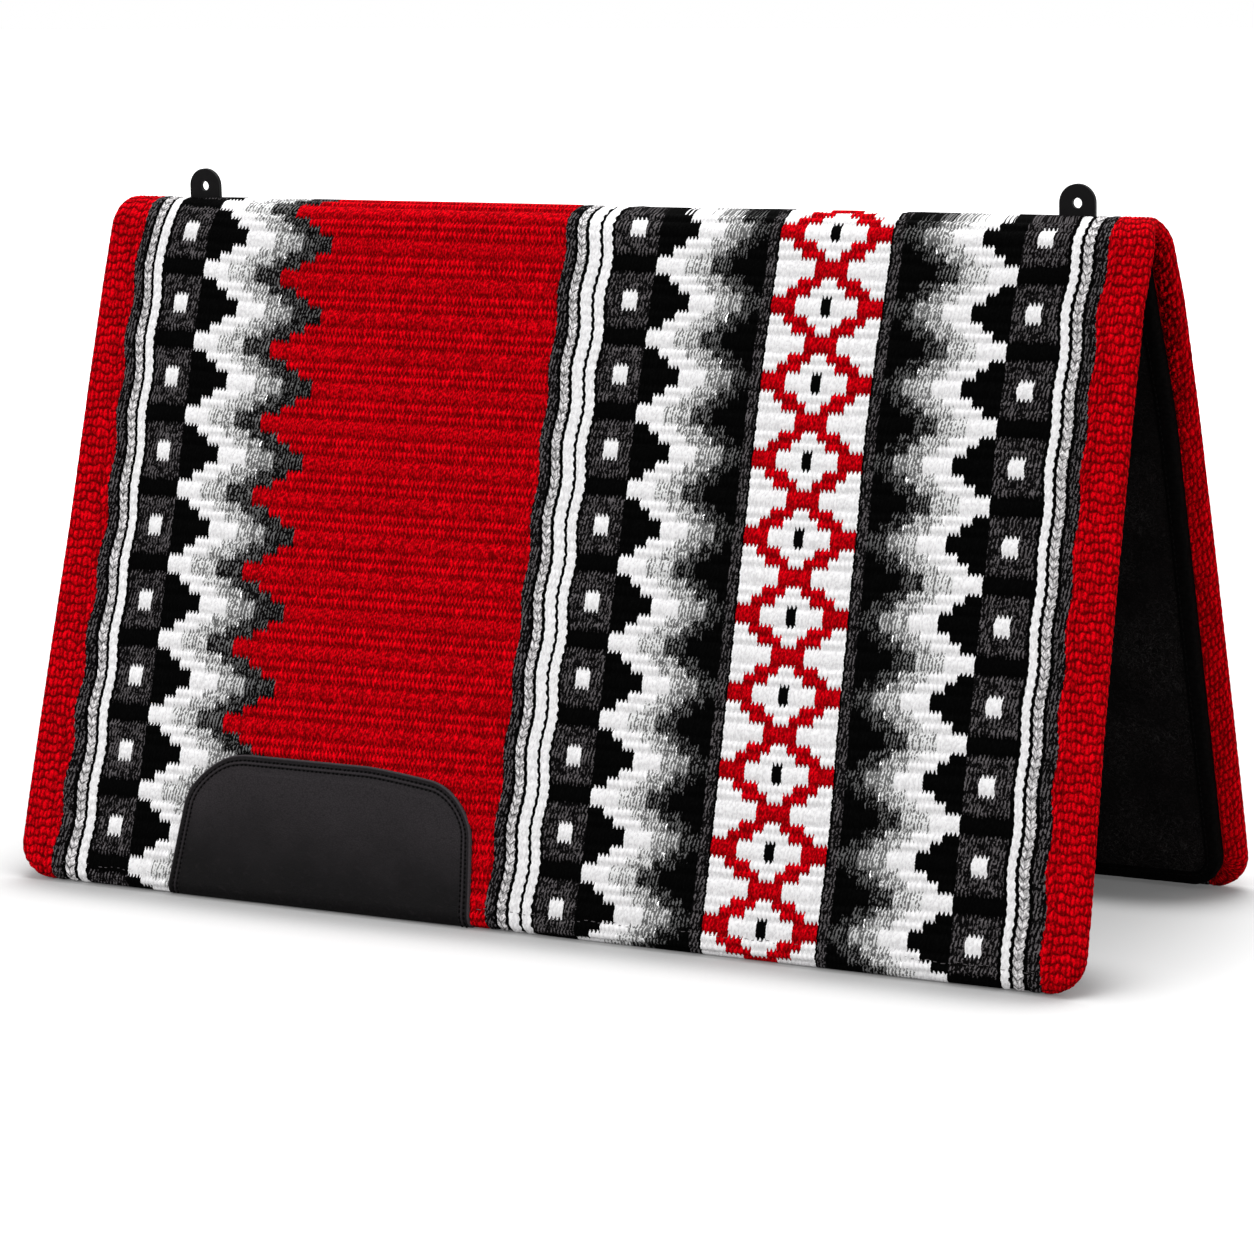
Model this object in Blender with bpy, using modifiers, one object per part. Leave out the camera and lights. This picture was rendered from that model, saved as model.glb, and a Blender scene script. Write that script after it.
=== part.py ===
"""A western saddle blanket: a thick woven wool blanket over a bound felt liner, folded over its
spine so that it stands as an inverted V, with a wear leather on each drop and two hanging tabs.

Metres, +Z up. X runs along the spine, the near drop lies towards -Y and the far drop towards +Y.
The origin is on the floor, under the middle of the ridge.
"""

import math

import bpy
import bmesh
from mathutils import Matrix, Vector

# The blanket: the woven cloth and how it stands
SPINE_LENGTH = 0.813
DROP_LENGTH = 0.479  # straight part of a drop, from the end of the fold to the hem
DROP_ANGLE = math.radians(16.5)  # each drop's lean from the vertical
FOLD_RADIUS = 0.026  # outer face of the cloth over the spine
CLOTH_THICKNESS = 0.0105
CLOTH_CORNER = 0.026
CLOTH_EDGE_RADIUS = 0.0048
HEM_HEIGHT = 0.022  # the seam crease above the hem's lower edge
CREASE_RADIUS = 0.0012
FLOOR_FLAT = 0.0005  # how far the hem is pressed flat where it stands

# The felt liner and its binding tape
FELT_THICKNESS = 0.008
FELT_END_INSET = 0.012
FELT_HEM_INSET = 0.0055
FELT_CORNER = 0.021
BINDING_WIDTH = 0.0105
TAPE_THICKNESS = 0.0012

# The wear leathers
LEATHER_MIDDLE = -0.1575  # place along the spine
LEATHER_TOP_WIDTH = 0.235
LEATHER_HEM_WIDTH = 0.243
LEATHER_HEIGHT = 0.101
LEATHER_CORNER = 0.036
LEATHER_THICKNESS = 0.0025
LEATHER_PROUD = 0.0008  # how far it stands out of the cloth that its seams press down
LEATHER_TURN_UNDER = 0.0052  # how far it goes on under the hem

# The hanging tabs
LEFT_TAB_INSET = 0.0730  # from the cloth's end to the tab's middle
RIGHT_TAB_INSET = 0.0625
TAB_WIDTH = 0.0250
TAB_RISE = 0.0205  # above the ridge
TAB_THICKNESS = 0.004
TAB_HOLE_RADIUS = 0.0034
TAB_EDGE = 0.0004
TAB_FOOT_WIDTH = 0.042
TAB_FOOT_HEIGHT = 0.0048
TAB_FILLET = 0.0015

# Clearances, cutters and how finely round shapes are divided
FIT = 0.0003
OVERRUN = 0.02
ARC_STEPS = 22
CORNER_STEPS = 8
EDGE_STEPS = 4
HOLE_STEPS = 28
WELD = 0.00001

NEAR, FAR = 1, -1  # the far side is the near side turned half round
TURN_LEFT = math.pi / 2 - DROP_ANGLE  # angle between the ridge and the end of the fold
FOLD_CENTRE_Z = (
    DROP_LENGTH * math.cos(DROP_ANGLE)
    - (FOLD_RADIUS - CLOTH_THICKNESS + CLOTH_EDGE_RADIUS) * math.sin(DROP_ANGLE)
    - CLOTH_EDGE_RADIUS * math.cos(DROP_ANGLE)
    + CLOTH_EDGE_RADIUS
    - FLOOR_FLAT
)
CLOTH_BACK = FOLD_RADIUS - CLOTH_THICKNESS
FELT_BACK = CLOTH_BACK - FIT
FELT_FACE = FELT_BACK - FELT_THICKNESS
BINDING_HALF = SPINE_LENGTH / 2 - FELT_END_INSET
BINDING_END = FELT_HEM_INSET - DROP_LENGTH


def srgb(red, green, blue):
    """A colour read from the photograph, as Blender's linear colour."""
    scale, knee, slope, offset, power = 255, 0.04045, 12.92, 0.055, 2.4
    shares = [value / scale for value in (red, green, blue)]
    return [c / slope if c <= knee else ((c + offset) / (1 + offset)) ** power for c in shares] + [1]


def clear_scene():
    for item in list(bpy.data.objects):
        bpy.data.objects.remove(item, do_unlink=True)


def new_collection(name):
    collection = bpy.data.collections.new(name)
    bpy.context.scene.collection.children.link(collection)
    return collection


def new_material(name, colour, roughness, metallic=0.0):
    material = bpy.data.materials.new(name)
    material.use_nodes = True
    shader = material.node_tree.nodes["Principled BSDF"]
    shader.inputs["Base Color"].default_value = colour
    shader.inputs["Roughness"].default_value = roughness
    shader.inputs["Metallic"].default_value = metallic
    material.diffuse_color = colour
    return material


def add_mesh(name, mesh, collection):
    item = bpy.data.objects.new(name, mesh)
    collection.objects.link(item)
    return item


def as_cutter(item):
    item.hide_render = True
    item.display_type = "WIRE"
    return item


def arc(centre, radius, start, end, steps):
    """Points along an arc, from one angle to the other, in a plane."""
    turn = (end - start) / steps
    return [
        (
            centre[0] + radius * math.cos(start + i * turn),
            centre[1] + radius * math.sin(start + i * turn),
        )
        for i in range(steps + 1)
    ]


def mesh_of_curve(name, outlines, low, high):
    """A flat outline, with any further outlines as holes in it, raised from low to high."""
    curve = bpy.data.curves.new(name, "CURVE")
    curve.dimensions = "2D"
    curve.fill_mode = "BOTH"
    curve.extrude = (high - low) / 2
    for points in outlines:
        spline = curve.splines.new("POLY")
        spline.points.add(len(points) - 1)
        for point, place in zip(spline.points, points):
            point.co = (place[0], place[1], 0, 1)
        spline.use_cyclic_u = True
    drawn = add_mesh(name + "_outline", curve, bpy.context.scene.collection)
    depsgraph = bpy.context.evaluated_depsgraph_get()
    mesh = bpy.data.meshes.new_from_object(drawn.evaluated_get(depsgraph))
    bpy.data.objects.remove(drawn, do_unlink=True)
    bpy.data.curves.remove(curve)
    shape = bmesh.new()
    shape.from_mesh(mesh)
    bmesh.ops.remove_doubles(shape, verts=shape.verts, dist=WELD)
    flat = math.radians(1)
    bmesh.ops.dissolve_limit(shape, angle_limit=flat, verts=shape.verts, edges=shape.edges)
    bmesh.ops.translate(shape, verts=shape.verts, vec=(0, 0, (high + low) / 2))
    bmesh.ops.recalc_face_normals(shape, faces=shape.faces)
    shape.to_mesh(mesh)
    shape.free()
    return mesh


def drop_outline(half_width, hem, corner, top):
    """A drop's outline: square at the top, with round lower corners."""
    inner, rise = half_width - corner, hem + corner
    right = arc((inner, rise), corner, 0, -math.pi / 2, CORNER_STEPS)
    left = arc((-inner, rise), corner, -math.pi / 2, -math.pi, CORNER_STEPS)
    return [(half_width, top)] + right + left + [(-half_width, top)]


def slab(name, half_width, hem, corner, low, high, collection, top=OVERRUN):
    outline = drop_outline(half_width, hem, corner, top)
    return add_mesh(name, mesh_of_curve(name, [outline], low, high), collection)


def box(name, low, high, collection):
    shape = bmesh.new()
    bmesh.ops.create_cube(shape, size=1)
    size = Vector(high) - Vector(low)
    bmesh.ops.scale(shape, verts=shape.verts, vec=size)
    bmesh.ops.translate(shape, verts=shape.verts, vec=(Vector(low) + Vector(high)) / 2)
    mesh = bpy.data.meshes.new(name)
    shape.to_mesh(mesh)
    shape.free()
    return add_mesh(name, mesh, collection)


def swept_sheet(name, profile, start, end, thickness, collection):
    """A profile in the YZ plane swept from +X to -X as an open surface, and thickened inwards."""
    shape = bmesh.new()
    rows = [[shape.verts.new((x, y, z)) for y, z in profile] for x in (start, end)]
    for i in range(len(profile) - 1):
        shape.faces.new((rows[0][i], rows[1][i], rows[1][i + 1], rows[0][i + 1]))
    mesh = bpy.data.meshes.new(name)
    shape.to_mesh(mesh)
    shape.free()
    item = add_mesh(name, mesh, collection)
    solid = item.modifiers.new("Thickness", "SOLIDIFY")
    solid.thickness = thickness
    solid.offset = -1
    solid.use_even_offset = True
    return item


def boolean(item, other, operation="DIFFERENCE"):
    cut = item.modifiers.new(operation.title() + "_" + other.name, "BOOLEAN")
    cut.operation = operation
    cut.object = other
    cut.solver = "EXACT"


def round_edges(item, width, segments, angle=math.radians(50)):
    bevel = item.modifiers.new("Rounded", "BEVEL")
    bevel.width = width
    bevel.segments = segments
    bevel.limit_method = "ANGLE"
    bevel.angle_limit = angle


def finish(item, material):
    item.data.materials.clear()
    item.data.materials.append(material)
    item.data.shade_smooth()
    item.data.set_sharp_from_angle(angle=math.radians(30))
    return item


def hinge_point():
    """Where a drop's axis lies, outwards and upwards of the fold's centre: turning the drop about
    it takes the end of the fold to where it lies when the cloth is laid out flat."""
    middle = FOLD_RADIUS - CLOTH_THICKNESS / 2
    standing = Vector((middle * math.cos(DROP_ANGLE), middle * math.sin(DROP_ANGLE)))
    laid_flat = Vector((middle * TURN_LEFT, middle))
    chord = laid_flat - standing
    inwards = Vector((-chord.y, chord.x)) / (2 * math.tan(TURN_LEFT / 2))
    return (standing + laid_flat) / 2 + inwards


def side_frame(name, side, collection):
    """An empty on the side's axis. Its local axes are X along the spine, Y up the drop and Z out of
    the drop's outer face."""
    out, up = hinge_point()
    frame = bpy.data.objects.new(name, None)
    collection.objects.link(frame)
    lean = Matrix.Rotation(math.pi / 2 - DROP_ANGLE, 4, "X")
    place = Matrix.Translation((0, -out, FOLD_CENTRE_Z + up))
    half_turn = Matrix.Rotation(0 if side == NEAR else math.pi, 4, "Z")
    frame.matrix_world = half_turn @ place @ lean
    return frame


def hang(items, frame):
    """Puts pieces that are drawn from the fold's centre into the frame on the axis."""
    out, up = hinge_point()
    along = out * math.sin(DROP_ANGLE) - up * math.cos(DROP_ANGLE)
    outwards = out * math.cos(DROP_ANGLE) + up * math.sin(DROP_ANGLE)
    for item in items:
        item.parent = frame
        item.location = (0, along, -outwards)


def leather_profile(depth, grow):
    """The leather's face from its top edge down, round the hem and under it, at a depth below its
    outer surface. The seat that it lies in grows past its lower edge."""
    out = FOLD_RADIUS + LEATHER_PROUD - depth
    centre = (CLOTH_EDGE_RADIUS - DROP_LENGTH, FOLD_RADIUS - CLOTH_EDGE_RADIUS)
    radius = CLOTH_EDGE_RADIUS + LEATHER_PROUD - depth
    turned = arc(centre, radius, math.pi / 2, math.pi, CORNER_STEPS)
    under = (turned[-1][0], centre[1] - LEATHER_TURN_UNDER + CLOTH_EDGE_RADIUS - grow)
    return [(LEATHER_HEIGHT + OVERRUN - DROP_LENGTH, out)] + turned + [under]


def leather_outline(grow):
    """The leather's outline: round top corners, and sides that spread a little to the hem."""
    top, hem = LEATHER_HEIGHT - DROP_LENGTH + grow, -DROP_LENGTH - OVERRUN
    half_top, half_hem = LEATHER_TOP_WIDTH / 2 + grow, LEATHER_HEM_WIDTH / 2 + grow
    corner = LEATHER_CORNER + grow
    right = arc((half_top - corner, top - corner), corner, 0, math.pi / 2, CORNER_STEPS)
    left = [(-x, y) for x, y in reversed(right)]
    return [(half_hem, hem)] + right + left + [(-half_hem, hem)]


def leather_body(name, side, grow, depth, thickness, collection, cutters):
    """A leather, or with grow the seat that it presses into the cloth."""
    middle = side * LEATHER_MIDDLE
    reach = LEATHER_HEM_WIDTH / 2 + OVERRUN
    profile = leather_profile(depth, grow)
    sheet = swept_sheet(name, profile, middle + reach, middle - reach, thickness, collection)
    low, high = CLOTH_BACK - OVERRUN, FOLD_RADIUS + OVERRUN
    outline = [(middle + x, y) for x, y in leather_outline(grow)]
    prism = add_mesh(name + "_shape", mesh_of_curve(name + "_shape", [outline], low, high), cutters)
    boolean(sheet, as_cutter(prism), "INTERSECT")
    return sheet, prism


def build_drop(prefix, side, parts, cutters, materials):
    """The pieces of one drop: woven cloth, felt, binding and wear leather."""
    half = SPINE_LENGTH / 2
    far_out = half + OVERRUN
    shoulder = as_cutter(
        box(
            prefix + "_shoulder_cut",
            (-far_out, -FIT / 2, -OVERRUN),
            (far_out, OVERRUN + FOLD_RADIUS, FOLD_RADIUS + OVERRUN),
            cutters,
        )
    )
    cloth = slab(
        prefix + "_woven_drop", half, -DROP_LENGTH, CLOTH_CORNER, CLOTH_BACK, FOLD_RADIUS, parts
    )
    round_edges(cloth, CLOTH_EDGE_RADIUS, EDGE_STEPS)
    boolean(cloth, shoulder)
    crease = crease_cutter(prefix + "_crease", far_out, cutters)
    boolean(cloth, crease)
    seat, seat_shape = leather_body(
        prefix + "_leather_seat", side, FIT, -OVERRUN / 2,
        LEATHER_THICKNESS + FIT + OVERRUN / 2, cutters, cutters,
    )
    boolean(cloth, as_cutter(seat))
    leather, leather_shape = leather_body(
        prefix + "_wear_leather", side, 0, 0, LEATHER_THICKNESS, parts, cutters
    )

    felt_half = BINDING_HALF - TAPE_THICKNESS - FIT
    felt_hem = BINDING_END + TAPE_THICKNESS + FIT
    felt_corner = FELT_CORNER - TAPE_THICKNESS - FIT
    rabbet = FELT_BACK - TAPE_THICKNESS - FIT
    window_half, window_hem = BINDING_HALF - BINDING_WIDTH, BINDING_END + BINDING_WIDTH
    window_corner = FELT_CORNER - BINDING_WIDTH
    felt = slab(prefix + "_felt_panel", felt_half, felt_hem, felt_corner, FELT_FACE, rabbet, parts)
    pad = slab(
        prefix + "_felt_pad", window_half - FIT, window_hem + FIT, window_corner - FIT,
        (FELT_FACE + rabbet) / 2, FELT_BACK, cutters,
    )
    boolean(felt, as_cutter(pad), "UNION")
    boolean(felt, shoulder)

    binding = slab(
        prefix + "_felt_binding", BINDING_HALF, BINDING_END, FELT_CORNER,
        FELT_FACE - FIT - TAPE_THICKNESS, FELT_BACK, parts,
    )
    core = slab(
        prefix + "_binding_core", BINDING_HALF - TAPE_THICKNESS, BINDING_END + TAPE_THICKNESS,
        FELT_CORNER - TAPE_THICKNESS, FELT_FACE - FIT, FELT_BACK - TAPE_THICKNESS, cutters,
        2 * OVERRUN,
    )
    window = slab(
        prefix + "_binding_window", window_half, window_hem, window_corner,
        FELT_FACE - OVERRUN, FELT_BACK + OVERRUN, cutters, 2 * OVERRUN,
    )
    for cutter in (core, window, shoulder):
        boolean(binding, as_cutter(cutter))

    frame = side_frame(prefix + "_swing_axis", side, parts)
    hang(
        [shoulder, crease, cloth, seat, seat_shape, leather, leather_shape, felt, pad, binding,
         core, window],
        frame,
    )
    floor = as_cutter(
        box(
            prefix + "_floor_cut",
            (-far_out, -DROP_LENGTH, -OVERRUN),
            (far_out, DROP_LENGTH, 0),
            cutters,
        )
    )
    boolean(cloth, floor)
    boolean(leather, floor)
    finish(cloth, materials["wool"])
    finish(leather, materials["leather"])
    finish(felt, materials["felt"])
    finish(binding, materials["binding"])


def crease_cutter(name, reach, cutters):
    """The round groove that the hem's seam presses into the cloth's face."""
    shape = bmesh.new()
    half_step = Matrix.Rotation(math.pi / HOLE_STEPS, 4, "Z")  # no corner lies in the face's plane
    bmesh.ops.create_cone(
        shape, cap_ends=True, segments=HOLE_STEPS, radius1=CREASE_RADIUS, radius2=CREASE_RADIUS,
        depth=2 * reach, matrix=Matrix.Rotation(math.pi / 2, 4, "Y") @ half_step,
    )
    bmesh.ops.translate(
        shape, verts=shape.verts, vec=(0, HEM_HEIGHT - DROP_LENGTH, FOLD_RADIUS)
    )
    mesh = bpy.data.meshes.new(name)
    shape.to_mesh(mesh)
    shape.free()
    return as_cutter(add_mesh(name, mesh, cutters))


def fold_sheet(name, radius, thickness, half_width, collection):
    """A sheet over the spine, carried a little past the ends of the fold, which are then cut."""
    extra = OVERRUN / FOLD_RADIUS / 2
    start, end = math.pi / 2 - TURN_LEFT - extra, math.pi / 2 + TURN_LEFT + extra
    profile = arc((0, 0), radius, start, end, ARC_STEPS)
    item = swept_sheet(name, profile, half_width, -half_width, thickness, collection)
    item.location.z = FOLD_CENTRE_Z
    return item


def fold_ends(cutters):
    """Two boxes that cut everything over the spine off where the drops begin."""
    reach = SPINE_LENGTH / 2 + OVERRUN
    ends = []
    for side, name in ((NEAR, "near_fold_cut"), (FAR, "far_fold_cut")):
        end = as_cutter(
            box(name, (-reach, -DROP_LENGTH, 0), (reach, FIT / 2, FOLD_RADIUS + OVERRUN), cutters)
        )
        lean = Matrix.Rotation(math.pi / 2 - DROP_ANGLE, 4, "X")
        half_turn = Matrix.Rotation(0 if side == NEAR else math.pi, 4, "Z")
        end.matrix_world = Matrix.Translation((0, 0, FOLD_CENTRE_Z)) @ half_turn @ lean
        ends.append(end)
    return ends


def tab_places():
    half = SPINE_LENGTH / 2
    return (("left", LEFT_TAB_INSET - half), ("right", half - RIGHT_TAB_INSET))


def tab_outline():
    """The tab's face: a round top over straight sides, and a wide foot with filleted corners."""
    half, foot_half = TAB_WIDTH / 2, TAB_FOOT_WIDTH / 2
    top = FOLD_RADIUS + TAB_RISE
    shoulder = CLOTH_BACK - FIT
    foot = shoulder - TAB_FOOT_HEIGHT
    quarter = math.pi / 2
    right = arc((foot_half - TAB_FILLET, foot + TAB_FILLET), TAB_FILLET, -quarter, 0, EDGE_STEPS)
    right += arc((foot_half - TAB_FILLET, shoulder - TAB_FILLET), TAB_FILLET, 0, quarter, EDGE_STEPS)
    right += [(half, shoulder)]
    left = [(-x, y) for x, y in reversed(right)]
    return right + arc((0, top - half), half, 0, math.pi, 2 * ARC_STEPS) + left


def build_tabs(parts, cutters, cloth, felt, material):
    """The hanging tabs, and the slots and pockets that hold them."""
    hole_centre = (0, FOLD_RADIUS + TAB_RISE - TAB_WIDTH / 2)
    hole = arc(hole_centre, TAB_HOLE_RADIUS, 0, -2 * math.pi, HOLE_STEPS)[:-1]
    room = TAB_THICKNESS / 2 + FIT
    foot = CLOTH_BACK - FIT - TAB_FOOT_HEIGHT
    for name, place in tab_places():
        outlines = [tab_outline(), hole]
        mesh = mesh_of_curve(name, outlines, -TAB_THICKNESS / 2, TAB_THICKNESS / 2)
        tab = add_mesh(name + "_hanging_tab", mesh, parts)
        tab.rotation_euler.x = math.pi / 2
        tab.location = (place, 0, FOLD_CENTRE_Z)
        round_edges(tab, TAB_EDGE, 2)
        finish(tab, material)
        slot = box(
            name + "_tab_slot",
            (place - TAB_WIDTH / 2 - FIT, -room, FOLD_CENTRE_Z + CLOTH_BACK - OVERRUN / 2),
            (place + TAB_WIDTH / 2 + FIT, room, FOLD_CENTRE_Z + FOLD_RADIUS + OVERRUN),
            cutters,
        )
        pocket = box(
            name + "_tab_pocket",
            (place - TAB_FOOT_WIDTH / 2 - FIT, -room, FOLD_CENTRE_Z + foot - FIT),
            (place + TAB_FOOT_WIDTH / 2 + FIT, room, FOLD_CENTRE_Z + FOLD_RADIUS),
            cutters,
        )
        boolean(cloth, as_cutter(slot))
        boolean(felt, as_cutter(pocket))


def build_fold(parts, cutters, materials):
    """The cloth, felt and binding over the spine."""
    ends = fold_ends(cutters)
    cloth = fold_sheet("woven_fold", FOLD_RADIUS, CLOTH_THICKNESS, SPINE_LENGTH / 2, parts)
    round_edges(cloth, CLOTH_EDGE_RADIUS, EDGE_STEPS)
    rabbet = FELT_BACK - TAPE_THICKNESS - FIT
    window_half = BINDING_HALF - BINDING_WIDTH
    felt = fold_sheet(
        "felt_fold", rabbet, FELT_THICKNESS - TAPE_THICKNESS - FIT,
        BINDING_HALF - TAPE_THICKNESS - FIT, parts,
    )
    pad = fold_sheet(
        "felt_fold_pad", FELT_BACK, FELT_THICKNESS / 2, window_half - FIT, cutters
    )
    boolean(felt, as_cutter(pad), "UNION")
    for end in ends:
        boolean(cloth, end)
        boolean(felt, end)
    for name, sign in (("left_fold_binding", -1), ("right_fold_binding", 1)):
        binding = fold_sheet(
            name, FELT_BACK, FELT_THICKNESS + FIT + TAPE_THICKNESS, BINDING_WIDTH / 2, parts
        )
        core = fold_sheet(
            name + "_core", FELT_BACK - TAPE_THICKNESS, FELT_THICKNESS + FIT - TAPE_THICKNESS,
            BINDING_WIDTH / 2, cutters,
        )
        binding.location.x = sign * (BINDING_HALF - BINDING_WIDTH / 2)
        core.location.x = binding.location.x - sign * TAPE_THICKNESS
        for cutter in [as_cutter(core)] + ends:
            boolean(binding, cutter)
        finish(binding, materials["binding"])
    build_tabs(parts, cutters, cloth, felt, materials["tab"])
    finish(cloth, materials["wool"])
    finish(felt, materials["felt"])


def main():
    clear_scene()
    parts = new_collection("saddle_blanket")
    cutters = new_collection("cutters")
    materials = {
        "wool": new_material("red_wool", srgb(172, 3, 14), 0.95),
        "felt": new_material("black_felt", srgb(14, 12, 12), 1.0),
        "binding": new_material("black_binding", srgb(20, 18, 18), 0.9),
        "leather": new_material("black_leather", srgb(41, 38, 40), 0.5),
        "tab": new_material("black_tab", srgb(16, 15, 16), 0.45),
    }
    build_fold(parts, cutters, materials)
    for prefix, side in (("near", NEAR), ("far", FAR)):
        build_drop(prefix, side, parts, cutters, materials)


main()
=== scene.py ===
"""Saddle blanket: the wool, felt, leathers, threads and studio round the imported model.

Metres, +Z up. X runs along the spine, the near drop lies towards -Y and the far drop towards +Y.
"""

import math

import bpy
import numpy as np
from bpy.props import FloatProperty, FloatVectorProperty, PointerProperty
from mathutils import Matrix, Vector


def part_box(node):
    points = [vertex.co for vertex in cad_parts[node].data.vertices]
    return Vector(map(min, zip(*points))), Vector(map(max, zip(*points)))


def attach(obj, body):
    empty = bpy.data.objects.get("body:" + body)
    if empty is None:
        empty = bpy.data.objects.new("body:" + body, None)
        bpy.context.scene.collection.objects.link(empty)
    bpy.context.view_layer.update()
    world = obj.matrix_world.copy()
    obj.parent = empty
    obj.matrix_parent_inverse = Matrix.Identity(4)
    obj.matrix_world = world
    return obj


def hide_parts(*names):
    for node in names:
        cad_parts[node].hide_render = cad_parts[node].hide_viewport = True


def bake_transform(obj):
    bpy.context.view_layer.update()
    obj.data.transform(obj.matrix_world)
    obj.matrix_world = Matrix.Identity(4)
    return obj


bl_info = {
    "name": "Saddle Blanket",
    "version": (1, 0, 0),
    "blender": (4, 5, 0),
    "location": "3D View > Sidebar > Blanket",
    "description": "Weaves, lines, binds and trims a folded saddle blanket, and lights it",
    "category": "Object",
}

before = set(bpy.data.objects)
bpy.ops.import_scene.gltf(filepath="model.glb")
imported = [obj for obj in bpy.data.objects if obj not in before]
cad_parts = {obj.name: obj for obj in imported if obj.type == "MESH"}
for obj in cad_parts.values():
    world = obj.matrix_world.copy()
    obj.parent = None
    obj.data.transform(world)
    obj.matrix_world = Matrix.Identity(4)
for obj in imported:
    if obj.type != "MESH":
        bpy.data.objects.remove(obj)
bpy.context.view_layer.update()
MM = 0.001
SIDES = (("near", -1), ("far", 1))  # the way that each drop leans along Y
PLACE = "weave_place"  # millimetres along the spine, rib units, millimetres down from the ridge

# The figure, in millimetres from the cloth's left end. The ribs run along the whole spine; the left
# figure's tips lie on every second tall rib, and the other figures' tips on the tall ribs between.
FIGURE_MIDDLE = 586.7
RIB_AT = (0, 150, 383, 421, 690, 813)
FIRST_TALL = (34.2, 34.2, 44.5, 49.4, 50.6, 50.6)  # from the ridge down to a tall rib
REPEAT = (54.3, 54.3, 52.8, 52.1, 51.2, 51.2)  # eight rib units
CORDS = (
    (29.5, 38.7), (39.3, 47.5), (48.0, 56.5),
    (382.3, 391.2), (391.7, 400.2), (400.7, 410.6), (411.1, 419.8),
    (755.2, 762.7), (763.3, 771.6), (772.2, 781.5),
)
# How far the weaver's hand moved the figure, in millimetres: to the right and down, at places
# along the spine and down from the ridge. A scratch script measured most of them on the
# photograph, and they were then changed by hand
DRIFT_X = (0, 28, 50, 80, 120, 170, 400, 440, 478, 522, 587, 655, 700, 750, 783, 813)
DRIFT_T = (0, 16, 45, 75, 110, 160, 240, 330, 430, 490)
DRIFT_RIGHT = (
    (0, 3.5, 5.0, 5.5, 5.8, 8.0, 0.2, 2.8, 6.3, 1.0, 0.8, 1.8, 0.8, -1.6, 2.6, 0),
    (0, 3.5, 5.0, 5.5, 5.8, 8.0, 0.2, 2.8, 6.3, 1.0, 0.8, 1.8, 0.8, 1.2, 2.2, 0),
    (0, 1.0, 0.0, 1.6, 0.2, 4.0, 0.8, 3.6, 6.0, 1.2, 0.8, 2.2, 0.5, -0.3, 1.0, 0),
    (0, 0.5, -0.1, 0.8, 0.3, 2.4, 0.5, 2.8, 4.6, 0.3, -0.3, 1.2, -2.1, -2.2, -0.5, 0),
    (0, 0.2, 0.3, 0.2, -1.7, 1.4, 0.5, 2.2, 3.2, -1.2, -1.2, -1.0, -3.2, -1.6, 0.0, 0),
    (0, 1.6, 1.3, 0.5, -2.0, 1.0, 0.3, 1.4, 2.2, -1.2, -1.9, -2.2, -4.3, -2.2, -0.4, 0),
    (0, 3.0, 3.0, 2.0, -1.6, 1.2, 0.1, 0.6, 2.0, -0.8, -1.4, 0.2, -2.4, -0.4, 0.3, 0),
    (0, 1.0, 0.9, 1.6, -2.2, 0.3, 0.0, -0.2, 1.6, -0.7, 0.2, 1.3, -1.6, 0.0, 1.1, 0),
    (0, 0.0, -0.2, 0.4, -2.9, -0.6, 0.0, -0.1, 1.1, -1.2, 2.6, 4.0, 0.1, 1.6, 2.5, 0),
    (0, -2.0, -2.3, -0.6, -4.4, -0.8, -0.4, -0.3, -0.2, -1.4, 2.9, 2.8, 1.1, 3.6, 4.0, 0),
)
DRIFT_DOWN = (
    (0, 1.0, 1.4, 3.4, 7.3, 11.0, 1.7, -9.0, -9.0, -9.0, 2.0, -9.0, -9.0, -9.0, 0.8, 0),
    (0, 1.0, 1.4, 3.4, 7.3, 11.0, 1.7, 2.1, 2.9, 2.3, 2.0, 2.4, 2.4, 1.6, 0.8, 0),
    (0, 1.0, 1.3, 2.6, 6.0, 9.3, 1.6, 2.5, 3.3, 2.0, 1.9, 1.8, 2.7, 1.3, 0.7, 0),
    (0, 0.8, 1.0, 1.7, 4.6, 8.0, 1.0, 1.4, 1.6, 1.0, 1.4, 1.7, 2.2, 0.9, 0.5, 0),
    (0, 0.4, 0.5, 0.6, 2.6, 6.0, 0.0, 0.6, 0.8, 0.3, 1.1, 1.0, 0.8, 0.4, 0.2, 0),
    (0, 0.2, 0.1, 0.6, 1.5, 4.2, -1.0, 0.0, 0.6, 1.0, 1.9, 0.6, -0.1, -0.6, -0.3, 0),
    (0, 0.2, 0.2, -0.1, 0.0, 2.0, -1.1, -0.3, 0.6, 1.2, 2.0, 1.2, 0.0, -0.3, -0.1, 0),
    (0, 0.2, 0.3, 0.1, -0.6, 1.6, -1.0, 0.5, 1.0, 1.8, 3.4, 2.0, 0.6, 0.6, 0.3, 0),
    (0, 0.1, 0.1, 0.0, -0.5, 1.2, -0.3, 1.1, 1.3, 1.4, 3.8, 2.6, 1.4, 0.8, 0.4, 0),
    (0, 0.0, 0.0, 0.0, 0.2, 1.2, 0.0, 0.4, 0.3, 0.4, 2.8, 1.6, 1.2, 0.4, 0.2, 0),
)
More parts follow.
